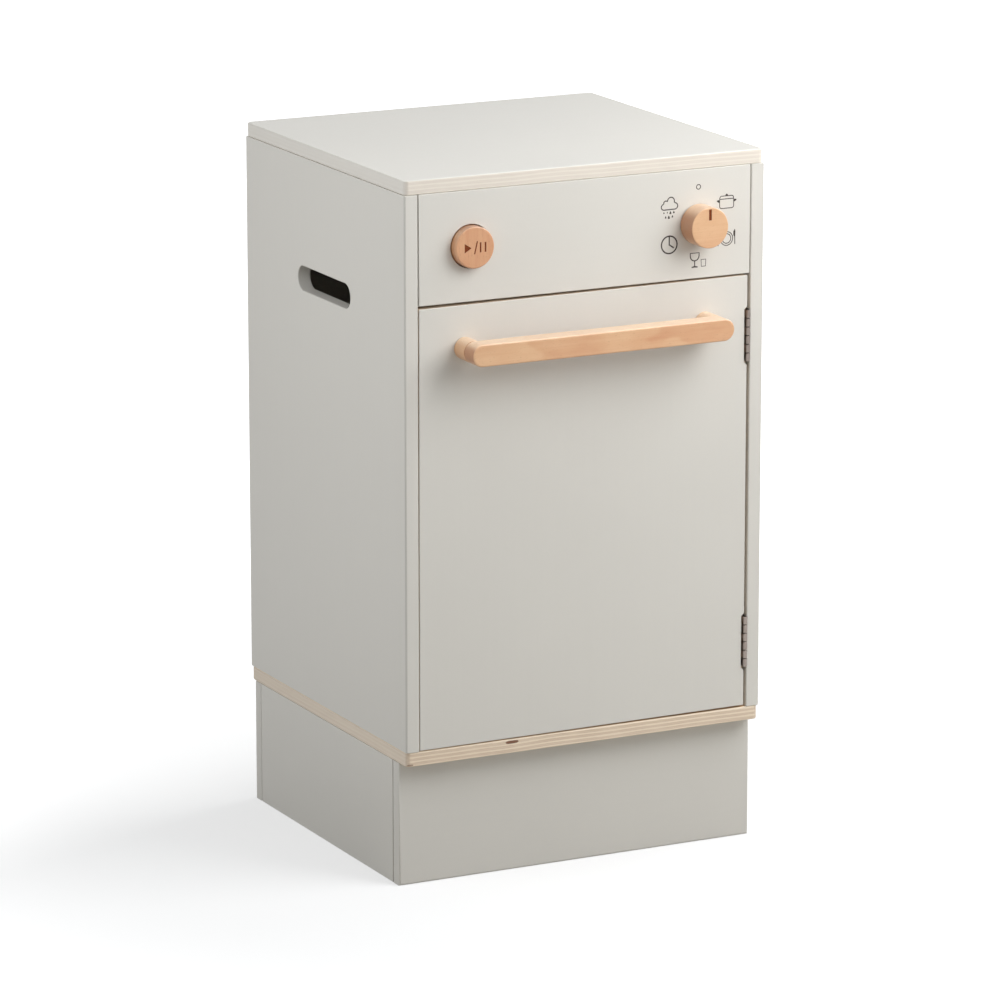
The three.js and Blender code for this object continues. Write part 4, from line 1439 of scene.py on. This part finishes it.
def add_catch():
    """The catch's plastic body, with a pocket for its magnet."""
    sizes = fittings()
    low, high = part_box("catch_body")
    shape = box_shape(low, high)
    ease(shape, edges_along(shape, Y), sizes.catch_corner, ARC_STEPS)
    ease(shape, edges_on(shape, Y, low.y, high.y), boards().edge_easing)
    magnet_low, magnet_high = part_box("catch_magnet")
    gap = Vector((sizes.magnet_gap, 0, sizes.magnet_gap))
    tool = box_shape(magnet_low - gap - AXES[Y] * OVERCUT, magnet_high + gap)
    housing = carve(shape, tool)
    plastic = "catch_plastic"
    add_piece("catch_housing", housing, [plastic], "cabinet", plastic, "catch_body")
    magnet = node_box("catch_magnet", THIN_EASING)
    add_piece("magnet_block", magnet, ["magnet"], "cabinet", "magnet", "catch_magnet")


def add_strike():
    """The steel plate on the door that the magnet holds."""
    low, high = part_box("strike_plate")
    shape = box_shape(low, high)
    ease(shape, edges_along(shape, Y), STRIKE_CORNER, ARC_STEPS)
    ease(shape, edges_on(shape, Y, high.y), STRIKE_EASING, FINE_STEPS)
    add_piece("strike_made", shape, ["screw"], "door", "hinge_steel", "strike_plate")


# Marks round the knob

def ring(x, z, radius, width, start=0, end=360):
    """A circle or an arc as a line of (x, z, width), in millimetres."""
    steps = max(6, round(abs(end - start) / RING_STEP))
    return line(width, *arc(x, z, radius, start, end, steps))


def line(width, *points):
    """A line of one width through (x, z) points."""
    return [(x, z, width) for x, z in points]


def rain_cloud(full):
    outline = ring(-4.6, 0.1, 2.2, full, 270, 115) + ring(-3.0, 2.9, 1.8, full, 190, 50)
    outline += ring(1.3, 4.3, 2.9, full, 178, -15) + ring(4.6, 0.4, 2.4, full, 85, -90)
    outline += line(full, (-4.6, -2.1))
    drops = [
        (-4.6, -4.4, 0.9), (-1.7, -4.2, 0.8), (0.9, -4.6, 1.4), (3.8, -4.3, 1.2),
        (-3.1, -7.8, 1.1), (-0.4, -8.0, 1.5), (2.6, -7.5, 1.1),
    ]
    strokes = [outline]
    for x, z, size in drops:
        drop = [(0.9, 0.35), (-0.1, 1.15), (-0.4, 1.3), (-0.7, 0.7)]
        strokes.append([(x, z + rise * size, width * size) for rise, width in drop])
    return strokes


def cooking_pot(thin):
    body = line(thin, (-6, 1.9), (-6, -3.3)) + ring(-4.2, -3.4, 1.8, thin, 180, 270)
    body += ring(4.2, -3.4, 1.8, thin, 270, 360) + line(thin, (6, 1.9))
    lid = line(thin, (-6, 1.9)) + ring(-4.2, 2.5, 1.7, thin, 170, 90)
    lid += ring(4.2, 2.5, 1.7, thin, 90, 10) + line(thin, (6, 1.9))
    rim = line(thin, (-6, 1.9), (6, 1.9))
    lid_grip = [(-1.0, 4.6, 0.8), (0, 5.1, 1.7), (1.0, 4.6, 0.8)]
    grips = [
        [(side * 6.2, 0.2, 2.2), (side * 7.2, 0.6, 1.7), (side * 8.4, 0.9, 0.6)]
        for side in (-1, 1)
    ]
    return [body, lid, rim, lid_grip] + grips


def plate_and_cutlery(thin):
    knife = [(7.0, 6.6, 0.5), (6.6, 4.8, 1.8), (6.6, 2.2, 1.6), (7.0, 0.9, thin), (7.1, -4.8, thin)]
    fork = line(thin, (-7.2, -5.2), (-7.2, 1.2))
    tines = [line(thin, (-7.2, 1.2), (-7.2 + x, 2.2), (-7.2 + x, 5.6)) for x in (-1.3, 0, 1.3)]
    return [ring(0, 0, 5.2, thin), ring(0, 0, 3.6, thin), knife, fork] + tines


def glasses(thin, full):
    bowl = line(full, (-3.8, 5.9)) + ring(0, 3.7, 3.7, full, 180, 360) + line(full, (3.8, 5.9))
    bowl.append(bowl[0])
    stem = line(full, (0, 0), (0, -4.5))
    foot = [(-2.6, -4.9, full), (0, -4.5, 1.4), (2.6, -4.9, full)]
    tumbler = line(thin, (5.5, 0.5), (5.7, -4.7), (9.3, -4.7), (9.5, 0.5), (5.5, 0.5))
    return [bowl, stem, foot, tumbler]


def clock(bold):
    return [ring(0, 0, 6.6, bold), line(bold, (0, 6.2), (0, 0), (3.9, -2.6))]


def drawn_lines(name, strokes, x, z):
    """Round lines along strokes of (x, z, width), from a place in millimetres, as a shape."""
    curve = bpy.data.curves.new(name, "CURVE")
    curve.dimensions = "3D"
    curve.bevel_depth = 0.5 * MM
    curve.bevel_resolution = 2
    curve.use_fill_caps = True
    for stroke in strokes:
        closed = (Vector(stroke[0]) - Vector(stroke[-1])).length < 0.01
        points = stroke[:-1] if closed else stroke
        spline = curve.splines.new("POLY")
        spline.points.add(len(points) - 1)
        spline.use_cyclic_u = closed
        for point, (over, up, width) in zip(spline.points, points):
            point.co = ((x + over) * MM, 0, (z + up) * MM, 1)
            point.radius = width
    drawing = put(name + "_line", curve)
    drawn = drawing.evaluated_get(bpy.context.evaluated_depsgraph_get())
    mesh = bpy.data.meshes.new_from_object(drawn)
    shape = bmesh.new()
    shape.from_mesh(mesh)
    bpy.data.meshes.remove(mesh)
    bpy.data.objects.remove(drawing)
    bpy.data.curves.remove(curve)
    return shape


def add_dial_marks():
    """Six marks round the knob, printed on the control panel: drawn as lines of ink."""
    sizes = print_marks()
    thin, full, bold = sizes.line / MM, sizes.full_line / MM, sizes.bold_line / MM
    strokes = {
        "mark_off": [ring(0, 0, 1.75, thin)],
        "mark_pots": cooking_pot(thin),
        "mark_plates": plate_and_cutlery(thin),
        "mark_glasses": glasses(thin, full),
        "mark_timer": clock(bold),
        "mark_rinse": rain_cloud(full),
    }
    knob = middle("program_knob") / MM
    face_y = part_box("control_panel")[0].y
    flat = sizes.ink / (sizes.bold_line / 2)
    for name, (x, z) in DIAL_PLACES.items():
        shape = drawn_lines(name, strokes[name], knob.x + x, knob.z + z)
        bmesh.ops.scale(shape, verts=shape.verts, vec=(1, flat, 1))
        bmesh.ops.translate(shape, verts=shape.verts, vec=(0, face_y, 0))
        add_piece(name, shape, ["ink"], "cabinet", "painted_plywood", crease=60)


# Operators

class BuildCabinet(Operator):
    """Builds the slabs, side panels, control panel, back and bay floor"""

    bl_idname = "dishwasher.build_cabinet"
    bl_label = "Cabinet"

    def execute(self, context):
        knots = [(x * MM, z * MM, wide * MM, tall * MM, dark) for x, z, wide, tall, dark in KNOTS]
        add_slab("top_slab", "top_panel", "paint_across", "chamber_paint", limed=TOP_LIMED)
        add_slab("base_slab", "bottom_panel", "bare_veneer", "veneer", knots)
        add_side("side_left", "left_side_panel")
        add_side("side_right", "right_side_panel")
        add_control_panel()
        for name, node, axis in (
            ("back_board", "back_panel", Y), ("bay_floor", "control_bay_floor", Z),
        ):
            add_board(name, node, axis, "chamber_paint", "painted_plywood", THIN_EASING)
        return {"FINISHED"}


class BuildPlinth(Operator):
    """Builds the four plinth boards and the blocks in their corners"""

    bl_idname = "dishwasher.build_plinth"
    bl_label = "Plinth"

    def execute(self, context):
        sizes = boards()
        slot = "painted_plywood"
        for side in ("front", "back"):
            node = f"plinth_{side}_board"
            add_board(f"plinth_{side}", node, Y, "plinth_paint", slot, sizes.plinth_easing)
        for side in ("left", "right"):
            node = f"plinth_{side}_board"
            add_board(
                f"plinth_{side}", node, X, "paint", slot, sizes.joint_easing,
                end_gap=sizes.joint_gap,
            )
            for end in ("front", "back"):
                block = f"plinth_block_{end}_{side}"
                edge = edge_material(block, X, 2 * sizes.plies - 1)
                add_board(
                    block + "_made", block, X, "veneer_deep", "lacquered_plywood",
                    sizes.inner_easing, edge,
                )
        return {"FINISHED"}


class BuildDoor(Operator):
    """Builds the door board, with its hinge notches"""

    bl_idname = "dishwasher.build_door"
    bl_label = "Door"

    def execute(self, context):
        add_door_panel()
        return {"FINISHED"}


class BuildHandle(Operator):
    """Builds the handle rail, its two posts and their screws"""

    bl_idname = "dishwasher.build_handle"
    bl_label = "Handle"

    def execute(self, context):
        add_handle_bar()
        for side in ("left", "right"):
            add_handle_post(side)
            add_screw(f"handle_screw_{side}", "door", Y, -1, False)
        return {"FINISHED"}


class BuildHinges(Operator):
    """Builds both butt hinges, with their pins and screws"""

    bl_idname = "dishwasher.build_hinges"
    bl_label = "Hinges"

    def execute(self, context):
        for level in ("upper", "lower"):
            add_hinge_leaf(level, 1)
            add_hinge_leaf(level, -1)
            # The pin's dark finish is painted shade for the knuckle gaps
            add_rod(f"{level}_hinge_pin", Z, "pin", "cabinet", "hinge_steel", PIN_EASING)
            for number in (1, 2):
                add_screw(f"{level}_hinge_cabinet_screw_{number}", "cabinet", X, 1, True)
                add_screw(f"{level}_hinge_door_screw_{number}", "door", X, -1, True)
        return {"FINISHED"}


class BuildCatch(Operator):
    """Builds the magnetic catch and its strike plate"""

    bl_idname = "dishwasher.build_catch"
    bl_label = "Catch"

    def execute(self, context):
        add_catch()
        for number in (1, 2):
            add_screw(f"catch_screw_{number}", "cabinet", X, -1, False)
        add_strike()
        add_screw("strike_screw", "door", Y, -1, True)
        return {"FINISHED"}


class BuildButton(Operator):
    """Builds the start button, its stem, spring, guide and screw"""

    bl_idname = "dishwasher.build_button"
    bl_label = "Start button"

    def execute(self, context):
        add_button_cap()
        add_rod("button_stem", Y, "beech_post", "button", "beech", THIN_EASING)
        add_screw("button_retaining_screw", "button", Y, -1, False)
        add_spring()
        add_guide()
        return {"FINISHED"}


class BuildKnob(Operator):
    """Builds the programme knob and its screw"""

    bl_idname = "dishwasher.build_knob"
    bl_label = "Programme knob"

    def execute(self, context):
        add_knob()
        add_screw("knob_screw", "knob", Y, -1, False)
        return {"FINISHED"}


class BuildMarks(Operator):
    """Prints the marks round the programme knob"""

    bl_idname = "dishwasher.build_marks"
    bl_label = "Dial marks"

    def execute(self, context):
        add_dial_marks()
        return {"FINISHED"}


class BuildShelf(Operator):
    """Builds the cup shelf and its battens"""

    bl_idname = "dishwasher.build_shelf"
    bl_label = "Cup shelf"

    def execute(self, context):
        sizes = boards()
        low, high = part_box("cup_shelf")
        shape = box_shape(low, high)
        ease(shape, edges_on(shape, Z, low.z, high.z), sizes.inner_easing)
        outer = high.x - sizes.cup_margin - sizes.cup_hole / 2
        pitch = 2 * outer / (sizes.cup_count - 1)
        holes = []
        for number in range(sizes.cup_count):
            centre = Vector((number * pitch - outer, (low.y + high.y) / 2, 0))
            holes.append((centre, Vector(), sizes.cup_hole / 2, sizes.cup_rounding))
        drill(shape, Z, low.z, high.z, holes)
        shape.normal_update()
        bare_edges(shape, Z)
        finishes = ["veneer", edge_material("cup_shelf", Z, sizes.plies - 2)]
        add_piece("shelf_board", shape, finishes, "cabinet", "lacquered_plywood", "cup_shelf")
        for side in ("left", "right"):
            node = f"shelf_batten_{side}"
            shape = node_box(node, sizes.inner_easing)
            add_piece(node + "_made", shape, ["beech_batten"], "cabinet", "beech", node)
        return {"FINISHED"}


class BuildRack(Operator):
    """Builds the plate rack's board and pegs"""

    bl_idname = "dishwasher.build_rack"
    bl_label = "Plate rack"

    def execute(self, context):
        sizes = boards()
        low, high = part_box("plate_rack_board")
        shape = box_shape(low, high)
        ease(shape, edges_along(shape, Z), sizes.slab_corner, CORNER_STEPS)
        ease(shape, edges_on(shape, Z, low.z, high.z), sizes.inner_easing)
        bare_edges(shape, Z)
        finishes = ["veneer", edge_material("plate_rack_board", Z, sizes.plies - 2)]
        add_piece("rack_board", shape, finishes, "cabinet", "lacquered_plywood", "plate_rack_board")
        for node in sorted(frame["nodes"]):
            if node.startswith("rack_peg_"):
                add_peg(node)
        return {"FINISHED"}


class SetStage(Operator):
    """Sets the floor, the lights and the camera"""

    bl_idname = "dishwasher.set_stage"
    bl_label = "Stage"

    def execute(self, context):
        context.scene.view_settings.view_transform = "Standard"
        add_floor()
        add_lights()
        add_camera()
        return {"FINISHED"}


def add_floor():
    shape = bmesh.new()
    bmesh.ops.create_grid(shape, x_segments=2, y_segments=2, size=FLOOR_REACH)
    mesh = mesh_from(shape, "studio_floor")
    mesh.materials.append(material("floor"))
    put("studio_floor", mesh)


def add_lights():
    """The light from all round, white where it is seen directly, and the softboxes."""
    settings = studio()
    world = bpy.data.worlds.new("studio_air")
    world.use_nodes = True
    tree = Tree(world.node_tree)
    sky_output = tree.nodes.new("ShaderNodeOutputWorld")
    sky = tree.parts(tree.node("ShaderNodeTexCoord", {}, {}, "Generated"))
    height = tree.math("MAXIMUM", sky[Z], 0)
    strength = settings.horizon + height * (settings.zenith - settings.horizon)
    air = tree.node("ShaderNodeBackground", {}, {"Color": settings.sky, "Strength": strength})
    white = tree.node("ShaderNodeBackground", {}, {"Strength": 1.0})
    shown = tree.node("ShaderNodeMixShader", {}, {0: tree.seen_directly(), 1: air, 2: white})
    tree.links.new(shown.socket, sky_output.inputs["Surface"])
    bpy.context.scene.world = world
    for name, (power, size, place, target) in LAMPS.items():
        add_lamp(name, getattr(settings, power), size, place, target)


def add_lamp(name, power, size, place, target):
    """A square softbox that is turned to a target."""
    light = bpy.data.lights.new(name, "AREA")
    light.shape = "SQUARE"
    light.size = size
    light.energy = power
    lamp = put(name, light)
    lamp.location = place
    way = Vector(target) - lamp.location
    lamp.rotation_euler = way.to_track_quat("-Z", "Y").to_euler()


def add_camera():
    """The camera, at its angle and distance from the point that it looks at."""
    settings = studio()
    turn, tilt = settings.azimuth, settings.elevation
    level = math.cos(tilt)
    back = Vector((math.sin(turn) * level, -math.cos(turn) * level, math.sin(tilt)))
    right = Vector((math.cos(turn), math.sin(turn), 0))
    rise = back.cross(right)
    aim = Vector((0, middle("top_panel").y, settings.aim_height))
    aim += right * settings.aim_side + rise * settings.aim_rise
    data = bpy.data.cameras.new("photo_camera")
    data.lens = settings.lens
    camera = put("photo_camera", data)
    camera.location = aim + back * settings.distance
    camera.rotation_euler = (-back).to_track_quat("-Z", "Y").to_euler()
    bpy.context.scene.camera = camera


OPERATORS = (
    BuildCabinet,
    BuildPlinth,
    BuildDoor,
    BuildHandle,
    BuildHinges,
    BuildCatch,
    BuildButton,
    BuildKnob,
    BuildMarks,
    BuildShelf,
    BuildRack,
    SetStage,
)


class DishwasherPanel(Panel):
    """Lists the builders and the settings"""

    bl_idname = "VIEW3D_PT_dishwasher"
    bl_label = "Toy dishwasher"
    bl_space_type = "VIEW_3D"
    bl_region_type = "UI"
    bl_category = "Dishwasher"

    def draw(self, context):
        column = self.layout.column()
        for operator in OPERATORS:
            column.operator(operator.bl_idname)
        for attribute in SETTINGS:
            group = getattr(context.scene, attribute)
            for name in group.__annotations__:
                column.prop(group, name)


SETTINGS = {
    "dishwasher_boards": BoardSettings,
    "dishwasher_turnings": TurnedSettings,
    "dishwasher_fittings": HingeSettings,
    "dishwasher_marks": MarkSettings,
    "dishwasher_colours": ColourSettings,
    "dishwasher_stage": StageSettings,
}
CLASSES = (*SETTINGS.values(), *OPERATORS, DishwasherPanel)


def register():
    for each in CLASSES:
        bpy.utils.register_class(each)
    for attribute, group in SETTINGS.items():
        setattr(bpy.types.Scene, attribute, PointerProperty(type=group))


def unregister():
    for attribute in SETTINGS:
        delattr(bpy.types.Scene, attribute)
    for each in reversed(CLASSES):
        bpy.utils.unregister_class(each)


def main():
    register()
    for operator in OPERATORS:
        group, name = operator.bl_idname.split(".")
        getattr(getattr(bpy.ops, group), name)()


if __name__ == "__main__":
    main()
